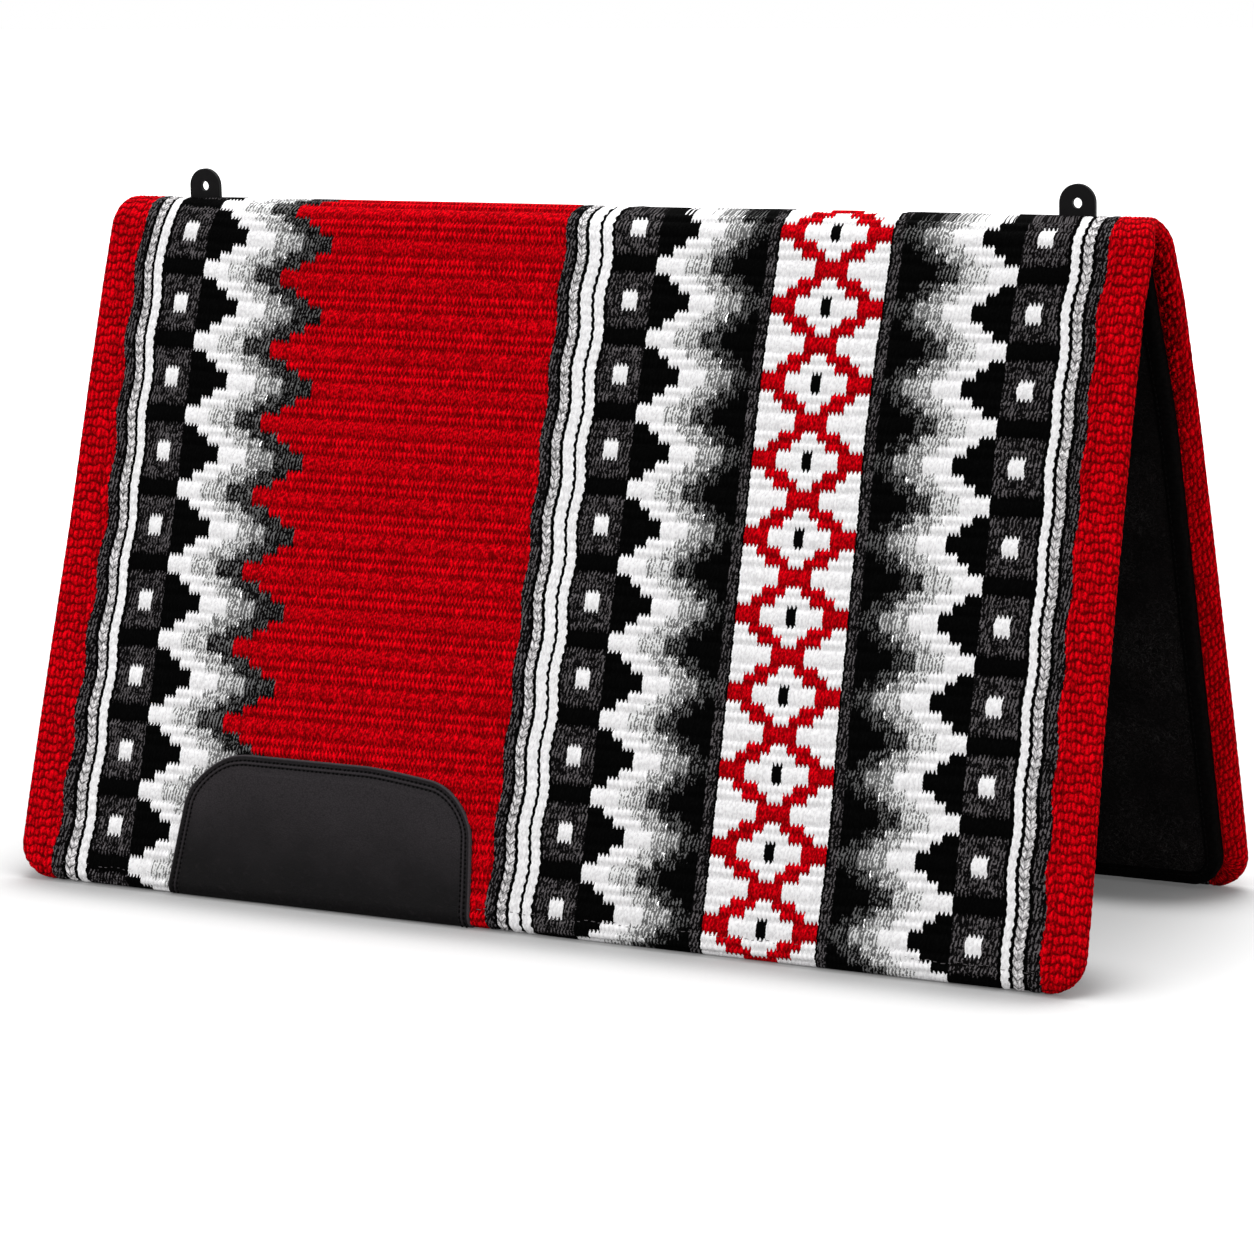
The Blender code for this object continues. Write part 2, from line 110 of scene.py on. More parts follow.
# How far the cloth's ends stand out from straight, in millimetres, down from the ridge
END_T = (0, 12, 30, 70, 150, 250, 350, 450, 515)
END_OUT = {
    ("near", -1): (-7.5, -6.2, -4.2, -2.4, -0.6, 0.8, 4.0, 6.8, 7.6),
    ("near", 1): (-9.0, -5.4, -2.0, -5.0, -4.6, -3.4, -1.4, 2.2, 3.6),
    ("far", -1): (-7.5, -6.0, -3.6, -1.6, 0.0, 1.6, 3.0, 4.2, 4.4),
    ("far", 1): (-9.0, -8.0, -4.2, -0.6, 1.4, 2.6, 3.4, 3.8, 3.4),
}
YARN = 2.55  # width of a stroke in the tall ribs and the heather
BEAD = 3.5  # width of a bead in the narrow ribs and the borders
TOOTH = 3.0  # width of a tooth where one colour meets the next
WIDE = 813  # the cloth along the spine, in millimetres
MIDDLE = WIDE / 2
END_FROM_MIDDLE = 409.0  # where the pattern goes round the cloth's end
BORDERS_APART = 759.0  # from a column of the left border to the same one of the right border
SEAM_ROWS = (4.2, 7.4)  # the leather's two rows of stitches, in from its edge, in millimetres
FELT_IN_TAPE = 0.0014  # from the outside of the tape to the felt's edge
LEATHER_BACK = -0.0016  # the leather's back, from the crests of the ribs
TURN = 2 * math.pi


def box_length(node):
    low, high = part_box(node)
    return high.x - low.x


def linear(red, green, blue):
    """A colour as seen, 0 to 255, as Blender's linear colour."""
    shares = [value / 255 for value in (red, green, blue)]
    return [c / 12.92 if c <= 0.04045 else ((c + 0.055) / 1.055) ** 2.4 for c in shares]


def number(name, description, default, **kind):
    return FloatProperty(name=name, description=description, default=default, **kind)


def length(name, description, default):
    return number(name, description, default, unit="LENGTH", precision=5)


def colour(name, description, seen):
    return FloatVectorProperty(
        name=name, description=description, default=linear(*seen), subtype="COLOR", size=3,
        min=0, max=1,
    )


class BlanketShape(bpy.types.PropertyGroup):
    """How big the blanket is and how it stands."""

    spine: length("Spine", "Length of the cloth along the spine", box_length("woven_fold"))
    drop: length("Drop", "Straight part of a drop, from the fold to the hem", 0.4779)
    lean: number("Lean", "A drop's lean from the vertical", math.radians(16.5), subtype="ANGLE")
    centre: length("Fold centre", "Height of the fold's centre", 0.453207)
    outside: length("Fold radius", "Radius of the cloth's face over the spine", 0.026)
    cloth: length("Cloth", "Thickness of the woven cloth", 0.0105)
    corner: length("Corner", "Radius of the cloth's lower corners", 0.026)
    hem: length("Hem round", "Radius of the turn under at the hem", 0.0080)
    end: length("End round", "Radius at the cloth's ends", 0.0052)
    tall: length("Tall relief", "How deep the grooves of tall ribs are", 0.0017)
    tight: length("Tight relief", "How deep the grooves of narrow ribs are", 0.0013)
    leather_top: length("Leather height", "Top of the wear leather above the hem", 0.102)
    leather_corner: length("Leather corner", "Radius of the leather's upper corners", 0.036)
    leather_rise: length("Leather rise", "How far the leather stands above the ribs", 0.0008)
    inset_end: length("Liner end inset", "From the cloth's end to the binding", 0.0120)
    inset_hem: length("Liner hem inset", "From the cloth's hem to the binding", 0.0055)
    liner_corner: length("Liner corner", "Radius of the liner's lower corners", 0.0225)
    felt_out: length("Felt face", "Radius of the felt's outer face over the spine", 0.0151)
    felt_in: length("Felt inside", "Radius of the felt's inner face over the spine", 0.0072)
    tape_in: length("Tape inside", "Radius of the tape's inner face over the spine", 0.0054)


class BlanketColours(bpy.types.PropertyGroup):
    """Yarns and trim."""

    red: colour("Red", "Ground yarn", (188, 1, 13))
    black: colour("Black", "Figure yarn", (4, 4, 4))
    white: colour("White", "Figure yarn", (253, 252, 253))
    braid: colour("Braid", "Light grey cord", (232, 229, 230))
    heather: colour("Heather", "Dark grey heather yarn", (46, 44, 45))
    felt: colour("Felt", "Liner", (13, 11, 11))
    tape: colour("Tape", "Binding tape", (9, 8, 8))
    leather: colour("Leather", "Wear leathers", (37, 34, 36))
    tab: colour("Tab", "Hanging tabs", (7, 6, 7))


class BlanketStudio(bpy.types.PropertyGroup):
    """The lamps."""

    key: number("Key", "Strength of the big front lamp", 35, unit="POWER")
    top: number("Top", "Strength of the lamp above", 61, unit="POWER")
    room: number("Room", "Strength of the light from all round", 0.72, subtype="FACTOR")


class BlanketSettings(bpy.types.PropertyGroup):
    """All that the blanket is made from."""

    shape: PointerProperty(name="Shape", description="Sizes of the blanket", type=BlanketShape)
    colours: PointerProperty(name="Colours", description="Yarns and trim", type=BlanketColours)
    studio: PointerProperty(name="Studio", description="Lamps and surroundings", type=BlanketStudio)


# Shapes


class Drape:
    """Turns a place on the folded cloth, x along the spine, t down from the ridge on the face and
    n out from the fold's centre, into a point, with the axes there."""

    def __init__(self, shape, side):
        self.side, self.centre, self.outside = side, shape.centre, shape.outside
        self.turn = math.pi / 2 - shape.lean
        self.bend = shape.outside * self.turn  # the face's length from the ridge to the straight part
        self.end = self.bend + shape.drop
        self.middle = (shape.outside + shape.felt_in) / 2  # of cloth and felt together

    def axes(self, t):
        angle = np.minimum(np.asarray(t) / self.outside, self.turn)
        zero = np.zeros_like(angle)
        out = np.stack([zero, self.side * np.sin(angle), np.cos(angle)], -1)
        down = np.stack([zero, self.side * np.cos(angle), -np.sin(angle)], -1)
        return out, down

    def point(self, x, t, n):
        x, t, n = np.broadcast_arrays(x, t, n)
        out, down = self.axes(t)
        straight = np.maximum(t - self.bend, 0)
        place = out * n[..., None] + down * straight[..., None]
        place[..., 0] += x
        place[..., 2] += self.centre
        return place


def rim(x, above, half, corner):
    """How far a place is in from a drop's outline, which has round lower corners, and the
    outline's direction there, along x and down."""
    across, down = np.abs(x) - (half - corner), corner - above
    a, b = np.maximum(across, 0), np.maximum(down, 0)
    reach = np.hypot(a, b)
    depth = corner - reach - np.minimum(np.maximum(across, down), 0)
    flat = np.where(reach > 0, reach, 1)
    return depth, np.where(reach > 0, a / flat, 0) * np.sign(x), np.where(reach > 0, b / flat, 1)


def squeezed(columns, above, half, corner, band):
    """Columns drawn in towards the middle where the outline's corner narrows the row."""
    low = np.clip(corner - above, 0, corner)
    inset = corner - np.sqrt(corner**2 - low**2)
    near_edge = np.clip(band - (half - np.abs(columns)), 0, band) / band
    return columns - np.sign(columns) * near_edge * inset


def run_along(path):
    """How far along a path each of its places lies."""
    return np.concatenate([[0], np.cumsum(np.hypot(*np.diff(path[:, :2], axis=0).T))])


def rounded(depth, radius):
    """For a rim of this radius: how far the face has fallen, the sine of its turn, and how much
    longer the way along it is than straight across."""
    share = np.clip((radius - depth) / radius, 0, 1)
    return radius * (1 - np.sqrt(1 - share**2)), share, radius * (np.arcsin(share) - share)


def drifted(x_mm, t_mm):
    """The figure's own place at a place on the cloth."""
    flat_t = np.clip(t_mm, DRIFT_T[0], DRIFT_T[-1])
    moved = []
    for table in (DRIFT_RIGHT, DRIFT_DOWN):
        rows = np.stack([np.interp(x_mm, DRIFT_X, row) for row in table])
        share = np.interp(flat_t, DRIFT_T, range(len(DRIFT_T)))
        low = np.minimum(share.astype(int), len(DRIFT_T) - 2)
        part = step(share - low, 0, 1)
        at_low, at_high = (np.take_along_axis(rows, (low + k)[None], 0)[0] for k in (0, 1))
        moved.append(at_low + (at_high - at_low) * part)
    return x_mm - moved[0], t_mm - moved[1]


def flared(name, x, t, half):
    """Ends drawn in over the fold and standing out towards the hem."""
    for way in (-1, 1):
        out = np.interp(t / MM, END_T, END_OUT[name, way]) * MM
        x = x + way * out * step(way * x, half - 0.052, half - 0.008)
    return x


def rib_phase(x_mm, t_mm):
    first, repeat = np.interp(x_mm, RIB_AT, FIRST_TALL), np.interp(x_mm, RIB_AT, REPEAT)
    return 8 * (t_mm - first) / repeat


def wave(value, half):
    """A triangle wave, 0 at 0 and half at half."""
    return np.abs((value / (2 * half) - 0.5) % 1 - 0.5) * 2 * half


def step(value, low, high):
    t = np.clip((value - low) / (high - low), 0, 1)
    return t * t * (3 - 2 * t)


class Plain:
    """Sums on arrays for the weave's rules. Nodes has the same ones for a material."""

    sin, cos, maximum = np.sin, np.cos, np.maximum

    @staticmethod
    def level(value, low, high, at_low, at_high):
        return at_low + (at_high - at_low) * step(value, low, high)

    @staticmethod
    def near(value, at, reach):
        return np.abs(value - at) <= reach


def sway(sums, x, units):
    """How far the cords wave to the right with the ribs, in millimetres."""
    left = sums.level(x, 36, 46, 1.7, 1.1) * sums.level(x, 56, 72, 1.0, 0.0)
    middle = sums.level(x, 360, 381, 0.0, 1.3) * sums.level(x, 420, 434, 1.0, 0.0)
    right = sums.level(x, 740, 756, 0.0, 0.75) + sums.level(x, 770, 779, 0.0, 0.5)
    return (left + middle + right) * sums.cos(units * (TURN / 8))


def past_end(sums, x):
    """How far round the turn of the cloth's end a place is, in millimetres."""
    return sums.maximum(abs(x - MIDDLE) - END_FROM_MIDDLE, 0.0)


def border_rows(sums, x, units):
    """A border's rows waver, and lie aslant in the column beside the cord and inside the ends."""
    beside = (x + 1.0) % BORDERS_APART - 27.0
    aslant = beside * (sums.near(beside, 0.0, 2.9) * 0.085)
    waver = sums.sin(x / 3.9 + units * 0.8) * 0.14 + sums.sin(x / 1.5 - units * 1.9) * 0.11
    return units + aslant - past_end(sums, x) * 0.14 + waver


def beads_along(sums, x, number, border):
    """A place along a border's row or a rib, counted in beads."""
    wide = sums.sin(number * 1.9) * border * 0.12 + 1.0
    place = x * wide / BEAD + (number + 400.0) % 2.0 * 0.5
    return place + sums.sin(number * 2.3) * 0.22 + sums.sin(x / 3.1 + number * 1.7) * 0.16


def weave_relief(shape, x_mm, units, t_mm):
    """How far the wool lies below its crests, in metres."""
    place = wave(units, 4)
    tall = (place < 1) | (place >= 3)
    from_crest = np.where(place >= 3, 4 - place, np.abs(place % 1 - 0.5) * 2)
    from_crest = np.where(place < 1, place, from_crest)
    number = np.floor(units)
    uneven = 0.12 * np.sin(number * 2.4 + x_mm / 37) + 0.08 * np.sin(number * 5.1 + x_mm / 11) + 1
    ribs = np.where(tall, shape.tall * from_crest**2.6, shape.tight * from_crest**2.0) * uneven
    rows = border_rows(Plain, x_mm, units)
    across_row = np.abs(rows % 1 - 0.5) * 2
    bead = np.cos(TURN * beads_along(Plain, x_mm, np.floor(rows), 1))
    gap = (0.5 - 0.5 * bead) ** 2
    beads = shape.tight * 0.65 * across_row**2.4 + 0.0007 * gap * (1 - across_row**4)
    groove_x = (x_mm + 1) % BORDERS_APART - 24
    beads = beads + 0.0004 * np.exp(-((groove_x / 1.2) ** 2))
    from_end = np.abs(MIDDLE - np.abs(x_mm - MIDDLE))
    beads = beads * (0.3 + 0.7 * step(from_end, 0, 7))
    border = 1 - step(x_mm, 28.5, 30.5) + step(x_mm, 780.5, 782.5)
    deep = ribs * (1 - border) + beads * uneven * border
    moved = x_mm - sway(Plain, x_mm, units)
    for low, high in CORDS:
        across = (moved - low) / (high - low) * 2 - 1
        inside = 1 - step(np.abs(across), 1.0, 1.12)
        lay = 0.00018 * (1 + np.cos(TURN * (t_mm / 6.8 + across * 0.25)))
        cord = 0.0012 * np.clip(np.abs(across), 0, 1) ** 4 + lay + 0.22 * ribs
        deep = deep * (1 - inside) + cord * inside
    return deep


def cloth_columns(half):
    """Where the cloth's columns lie: close together at its ends, borders and cords."""
    spans = ((0, 29, 1.15), (29, 57.5, 1.25), (57.5, 381, 9.5), (381, 421, 1.3), (421, 754, 9.5),
             (754, 782, 1.25), (782, 813, 1.15))
    inner = []
    for low, high, pace in spans:
        inner += list(np.linspace(low, high, max(2, round((high - low) / pace) + 1))[:-1])
    inner = np.array(inner) * (2 * half / WIDE) - half
    turn = np.sin(np.linspace(math.pi / 2, 0, 8)[:-1])
    edge = half - 0.0052 * (1 - turn)
    inner = inner[np.abs(inner) < half - 0.0050]
    return np.concatenate([-edge, inner, edge[::-1]])


def grid(number):
    """Faces between the rows and columns of numbered points."""
    corners = number[:-1, :-1], number[:-1, 1:], number[1:, 1:], number[1:, :-1]
    return np.stack(corners, -1).reshape(-1, 4).tolist()


def mesh_object(name, points, faces, material, place=None, flip=False):
    mesh = bpy.data.meshes.new(name)
    faces = [[int(v) for v in (face[::-1] if flip else face)] for face in faces]
    mesh.from_pydata([tuple(p) for p in points], [], faces)
    if place is not None:
        layer = mesh.attributes.new(PLACE, "FLOAT_VECTOR", "POINT")
        layer.data.foreach_set("vector", np.asarray(place, np.float32).ravel())
    mesh.validate()
    mesh.shade_smooth()
    mesh.materials.append(material)
    item = bpy.data.objects.new(name, mesh)
    bpy.context.scene.collection.objects.link(item)
    return item


def zipped(first, second, first_at, second_at):
    """Triangles between two rows of points that run the same way."""
    faces, i, j = [], 0, 0
    while i < len(first) - 1 or j < len(second) - 1:
        step_first = j == len(second) - 1 or (
            i < len(first) - 1 and first_at[i + 1] <= second_at[j + 1]
        )
        if step_first:
            faces.append((second[j], first[i + 1], first[i]))
            i += 1
        else:
            faces.append((second[j], second[j + 1], first[i]))
            j += 1
    return faces


def cloth_surface(name, shape, drape, half, x, above, face, footprints):
    """Points and pattern places of one face of the cloth: face 1 is the outer one."""
    depth, aim_x, aim_down = rim(x, above, half, shape.corner)
    low = aim_down**2
    outer = shape.end + (shape.hem - shape.end) * low
    inner = shape.cloth - outer
    radius = outer if face > 0 else inner
    fall, sine, longer = rounded(depth, radius)
    flat = np.sqrt(1 - sine**2)
    if face > 0:
        n, beyond = shape.outside - fall, longer
    else:
        n = shape.outside - shape.cloth + fall
        beyond = (outer + inner) * (math.pi / 2) - outer - longer - inner + 2 * np.clip(depth, 0, 0.03)
    t = drape.end - above
    x_mm = (x + aim_x * beyond + half) / MM
    t_mm = (t + aim_down * beyond) / MM
    x_mm, t_mm = drifted(x_mm, t_mm)
    units = rib_phase(x_mm, t_mm)
    sunk = weave_relief(shape, x_mm, units, t_mm)
    if face > 0:
        sunk = sunk + footprints(x, above)
    out, down = drape.axes(t)
    normal = out * (face * flat)[..., None] + down * (aim_down * sine)[..., None]
    normal[..., 0] += aim_x * sine
    points = drape.point(flared(name, x, t, half), t, n) - normal * sunk[..., None]
    points[..., 2] = np.maximum(points[..., 2], 0.0002)
    return points, np.stack([x_mm, units, t_mm], -1)


def weave_half(name, shape, side, material, footprints):
    """One half of the cloth, from the ridge to the hem, as one closed mesh."""
    half = shape.spine / 2
    drape = Drape(shape, side)
    columns = cloth_columns(half)
    turned = shape.hem * (1 - np.sin(np.linspace(0, math.pi / 2, 12)[1:]))
    straight = np.linspace(drape.end - 0.00015, shape.hem, round((drape.end - shape.hem) / 0.00146))
    above = np.concatenate([[drape.end], straight, turned])
    above[-1] = 0
    rows, cols = np.meshgrid(above, columns, indexing="ij")
    x = squeezed(cols, rows, half, shape.corner, 0.075)
    (front, front_place), (back, back_place) = (
        cloth_surface(name, shape, drape, half, x, rows, face, footprints) for face in (1, -1)
    )
    count_r, count_c = rows.shape
    points, places = list(front.reshape(-1, 3)), list(front_place.reshape(-1, 3))
    number = np.arange(count_r * count_c).reshape(count_r, count_c)
    faces = grid(number)
    # The back shares the front's rim. Away from its margins it needs few columns.
    edge = np.abs(columns) > half - 0.016
    few = np.where(edge | (np.arange(count_c) % 24 == 0))[0]
    first_full = int(np.argmax(above < 0.016))
    below = {}
    for i in range(count_r - 1):
        used = range(count_c) if i >= first_full else few
        for j in used:
            if j in (0, count_c - 1):
                below[i, j] = number[i, j]
            else:
                below[i, j] = len(points)
                points.append(back[i, j])
                places.append(back_place[i, j])
    for j in range(count_c):
        below[count_r - 1, j] = number[count_r - 1, j]
    for i in range(count_r - 1):
        used = list(range(count_c)) if i >= first_full else list(few)
        if i == first_full - 1:
            full = [below[i + 1, j] for j in range(count_c)]
            some = [below[i, j] for j in few]
            faces += zipped(some, full, columns[few], columns)
            continue
        for j, k in zip(used, used[1:]):
            faces.append((below[i, k], below[i, j], below[i + 1, j], below[i + 1, k]))
    top_back = [below[0, j] for j in few]
    faces += [f for f in zipped(number[0], top_back, columns, columns[few]) if len(set(f)) == 3]
    return mesh_object(name + "_woven_cloth", points, faces, material, places, side < 0)


# Finishes


class Value:
    """An output of a node. Sums, products and comparisons of values make more nodes."""

    def __init__(self, owner, socket):
        self.owner, self.socket = owner, socket

    def __add__(self, other):
        return self.owner.math("ADD", self, other)

    def __mul__(self, other):
        return self.owner.math("MULTIPLY", self, other)

    __radd__, __rmul__ = __add__, __mul__

    def __truediv__(self, number):
        return self * (1 / number)

    def __sub__(self, other):
        return self + -1.0 * other

    def __rsub__(self, other):
        return -1.0 * self + other

    def __mod__(self, other):
        return self.owner.math("MODULO", self, other)

    def __abs__(self):
        return self.owner.math("ABSOLUTE", self)

    def __gt__(self, other):
        return self.owner.math("GREATER_THAN", self, other)

    def __lt__(self, other):
        return self.owner.math("LESS_THAN", self, other)


class Nodes:
    """Short ways to make and join the nodes of a material or of the world."""

    def __init__(self, tree):
        self.tree = tree

    def put(self, value, socket):
        if isinstance(value, Value):
            self.tree.links.new(value.socket, socket)
        else:
            socket.default_value = value

    def node(self, kind, inputs=(), output=0, **settings):
        """An output of a new node. Its inputs are given in their order, or by name or number."""
        node = self.tree.nodes.new("ShaderNode" + kind)
        for name, setting in settings.items():
            setattr(node, name, setting)
        for key, value in inputs.items() if isinstance(inputs, dict) else enumerate(inputs):
            self.put(value, node.inputs[key])
        return Value(self, node.outputs[output])

    def math(self, operation, *values, clamp=False):
        return self.node("Math", values, operation=operation, use_clamp=clamp)

    def sin(self, value):
        return self.math("SINE", value)

    def cos(self, value):
        return self.math("COSINE", value)

    def floor(self, value):
        return self.math("FLOOR", value)

    def fold(self, value, reach):
        return self.math("PINGPONG", value, reach)

    def minimum(self, a, b):
        return self.math("MINIMUM", a, b)

    def maximum(self, a, b):
        return self.math("MAXIMUM", a, b)

    def unit(self, value):
        """The value held between 0 and 1."""
        return self.math("ADD", value, 0.0, clamp=True)

    def near(self, value, at, reach):
        return self.math("COMPARE", value, at, reach)

    def choose(self, share, a, b):
        """a where the share is 1 and b where it is 0."""
        return share * (a - b) + b

    def level(self, value, low, high, at_low, at_high):
        """The value from low to high, smoothly turned into at_low to at_high."""
        return self.node("MapRange", (value, low, high, at_low, at_high),
                         interpolation_type="SMOOTHSTEP")

    def seen(self):
        """1 where the camera or a reflection looks."""
        ways = (self.node("LightPath", (), way) for way in ("Is Camera Ray", "Is Glossy Ray"))
        return self.maximum(*ways)


class Finish(Nodes):
    """A material."""

    def __init__(self, name, roughness, specular):
        self.material = bpy.data.materials.new(name)
        self.material.use_nodes = True
        super().__init__(self.material.node_tree)
        self.shader = self.tree.nodes["Principled BSDF"].inputs
        self.shader["Roughness"].default_value = roughness
        self.shader["Specular IOR Level"].default_value = specular

    def join(self, x, y, z=0.0):
        return self.node("CombineXYZ", (x, y, z))

    def split(self, vector):
        parts = self.node("SeparateXYZ", (vector,)).socket.node.outputs
        return [Value(self, part) for part in parts]

    def place(self):
        """Millimetres along the spine, rib units and millimetres down."""
        return self.split(self.node("Attribute", (), "Vector", attribute_name=PLACE))

    def position(self):
        return self.node("NewGeometry", (), "Position")

    def chance(self, x, y):
        """A number from -0.5 to 0.5 that stays the same for the same place."""
        return self.node("TexWhiteNoise", {"Vector": self.join(x, y)}) - 0.5

    def noise(self, vector, scale, detail=2.0, roughness=0.5, distortion=0.0):
        return self.node("TexNoise", {"Vector": vector, "Scale": scale, "Detail": detail,
                                      "Roughness": roughness, "Distortion": distortion})

    def mix(self, share, a, b):
        """Colour a where the share is 0 and colour b where it is 1."""
        return self.node("Mix", {0: share, 6: a, 7: b}, 2, data_type="RGBA")

    def ramp(self, share, stops):
        """Wool along a share from 0 to 1. A stop is a place and a yarn."""
        shade = self.node("ValToRGB", (share,))
        node = shade.socket.node
        node.color_ramp.interpolation = "CONSTANT"
        elements = node.color_ramp.elements
        while len(elements) < len(stops):
            elements.new(1.0)
        for element, (position, yarn) in zip(elements, stops):
            element.position, element.color = position, yarn
        return shade, Value(self, node.outputs[1])

    def pick(self, level, values, most):
        """The value for a tip, first step, second step or notch rib."""
        return self.ramp(level, [(i / 4, (*(v / most,) * 3, 1)) for i, v in enumerate(values)])[0] * most

    def over(self, share, upper, lower):
        """The upper wool where the share is 1 and the lower one where it is 0. Wool is a shade
        with its fleck, or a yarn."""
        upper, lower = (w if len(w) == 2 else (w, w[3]) for w in (upper, lower))
        return self.mix(share, lower[0], upper[0]), self.choose(share, upper[1], lower[1])

    def coat(self, colour):
        self.put(colour, self.shader["Base Color"])

    def bump(self, height, distance, strength):
        height = {"Height": height, "Distance": distance, "Strength": strength}
        self.put(self.node("Bump", height), self.shader["Normal"])


def toned(colour, times):
    return (*(times * c for c in colour), 1)


def wool_finish(colours):
    """The ribbed cloth. The figure is stepped: each rib is a tip, a first step, a second step or
    a notch, and the edges between its colours move along the spine from one to the next."""
    f = Finish("ribbed_wool", 0.95, 0.02)
    x, units, down = f.place()
    spot = f.join(x, down)
    # A yarn is its colour and its fleck, which says how uneven it is
    red, black, white = (*colours.red, 0.5), (*colours.black, 0.3), (*colours.white, 0.1)
    braid, heather = (*colours.braid, 0.53), (*colours.heather, 0.78)
    even_red, even_heather = (*colours.red, 0.45), (*colours.heather, 0.75)

    # Two yarns to a tooth; each stops a little higher or lower than the next
    tooth = f.maximum(f.minimum(f.fold(x, TOOTH / 2) * 2.2 - 1.65, 1.0), -1.0)
    frayed = f.noise(spot, 0.9) - 0.5
    toothed = tooth * 0.19 + units + frayed * 0.2
    wave_place = f.fold((x > 300.0) * 4.0 + toothed, 4.0)
    level = wave_place * 0.25

    # Yarns side by side: which rib, which yarn in it, how light that yarn is, and its fibres
    beat = (toothed + 401.0) % 4.0
    row = toothed - beat + f.maximum(f.floor(beat), 1.0)
    leaning = down * 0.17 + x + frayed * 1.4
    place = row * 0.37 + leaning / YARN
    stray = f.chance(f.floor(place), f.math("ROUND", row))
    ridge = f.cos(place * TURN)
    fibre = f.noise(f.join(leaning / 1.25, down / 2.5, row * 5.3), 1.0, 1.0, 0.6) - 0.5

    # Cords and borders
    swayed = x - sway(f, x, units) + frayed * 1.1 + f.cos(units * TURN) * 0.4

    def cords(width, *stops):
        start = stops[0][0]
        return f.ramp((swayed - start) / width, [((at - start) / width, yarn) for at, yarn in stops])

    left_cords = cords(34, (28, red), (29.8, heather), (37.6, black), (40.2, braid),
                       (46.4, black), (48.6, white), (55.4, black))
    middle_cords = cords(44, (380, red), (382.8, heather), (390.2, black), (392.7, braid),
                         (399.0, black), (401.5, white), (409.6, black), (411.8, white),
                         (418.8, black))
    right_cords = cords(34, (753, black), (756.2, white), (761.7, black), (764.2, braid),
                        (770.6, black), (773.0, heather), (781.2, red))
    plain = f.over(x > 600, right_cords, f.over(x > 200, middle_cords, left_cords))

    # The stepped figure: once after the left cords, and twice about the diamonds
    left = x < 350
    edge_x = (f.noise(f.join(x * 0.2, down), 0.6) - 0.5) * 1.6 + x
    off = abs(edge_x - FIGURE_MIDDLE)
    from_cords = (FIGURE_MIDDLE - 421.0 - off) * 1.03
    along = f.choose(left, edge_x - 58.0, from_cords)
    stepped = f.choose(left, f.pick(level, (33.3, 22.5, 12.7, 0.0), 40.0),
                       f.pick(level, (29.0, 19.2, 11.0, 0.0), 40.0))
    shifted = along - stepped
    # the greys run into each other yarn by yarn, but not the black into the white
    mingled = (fibre * 4.0 + stray) * (shifted > 46.0)

    def greys(start, first, second, third, fourth):
        """The figure's yarns. A light grey is light yarns among dark ones, told by its fleck."""
        stops = ((start, *first), (start + 0.108, *second), (start + 0.222, third, 0.8),
                 (0.86, fourth, 0.8))
        stops = [(at, (*linear(tone, tone, tone), fleck)) for at, tone, fleck in stops]
        return f.ramp((shifted + mingled) * 0.01, [(0, black), (0.322, white), *stops])

    at_notch = greys(0.532, (246, 0.625), (240, 0.64), 60, 52)
    at_tip = greys(0.545, (240, 0.66), (226, 0.68), 50, 44)
    figure = f.over(f.unit(f.floor(wave_place) / 3), at_notch, at_tip)
    # where the greys end: the red field on the left, black and a heather cord elsewhere
    past = shifted > stepped * (left * 0.14) + left * 3.0 + 94.0
    past = f.maximum(past, (from_cords > 120.5) * (1.0 - left))
    inner = [(0, black), (20.5 / 40, even_heather), (27.6 / 40, black)]
    inner = f.ramp((from_cords - 100) / 40, inner)
    figure = f.over(past, f.over(left, red, inner), figure)
    # The box beside the cords, with its white square in the tip rib
    tip = level < 0.25
    square = tip * f.near(wave_place * 0.8 + along, 16.4, 5.5)
    box = f.over(square, white, f.ramp(level, [(0, even_heather), (0.75, black)]))
    figure = f.over(along < 31.6, box, figure)

    # The band of diamonds
    white_end = f.pick(level, (22.5, 12.4, 5.6, 0.0), 50.0)
    red_end = f.pick(level, (50.0, 30.0, 23.0, 12.0), 50.0)
    diamond, fleck = f.over((off > white_end) * (off < red_end), even_red, white)
    diamond = f.mix(tip * (off < 3.5), diamond, black)
    figure = f.over(off < 40.3, (diamond, fleck), figure)

    # The cords, the borders and the red field lie outside the figures
    in_figure = f.maximum(f.near(swayed, 190.0, 132.0), f.near(swayed, 587.5, 166.5))
    shade, fleck = f.over(in_figure, figure, plain)

    # Beads in the borders and in the narrow ribs
    border = abs(x - 405.5) > 376.0
    rows = border_rows(f, x, units)
    number = f.floor(f.choose(border, rows, toothed))
    bead_at = beads_along(f, x, number, border) + frayed * 0.8
    bead = f.cos(bead_at * TURN) * 0.5 + 0.5
    narrow = f.near(wave_place, 2.0, 1.0)
    beaded = f.maximum(border, narrow)

    # How far down its rib or row a place is, from 0 at the groove above to 1 at the one below
    in_rib = f.choose(narrow, f.math("FRACT", beat), beat * 0.5)
    fallen = f.choose(border, f.math("FRACT", rows), in_rib) + frayed * 0.22
    # painted shade: groove and under mark where the colour is darkened below, in the grooves between ribs
    # or rows and on the lower part of each, as if lit from above; the groove also sets the bump
    groove = f.level(f.fold(fallen, 0.5), 0.0, 0.17, 1.0, 0.0)
    under = f.level(fallen, 0.42, 1.0, 0.0, 1.0)
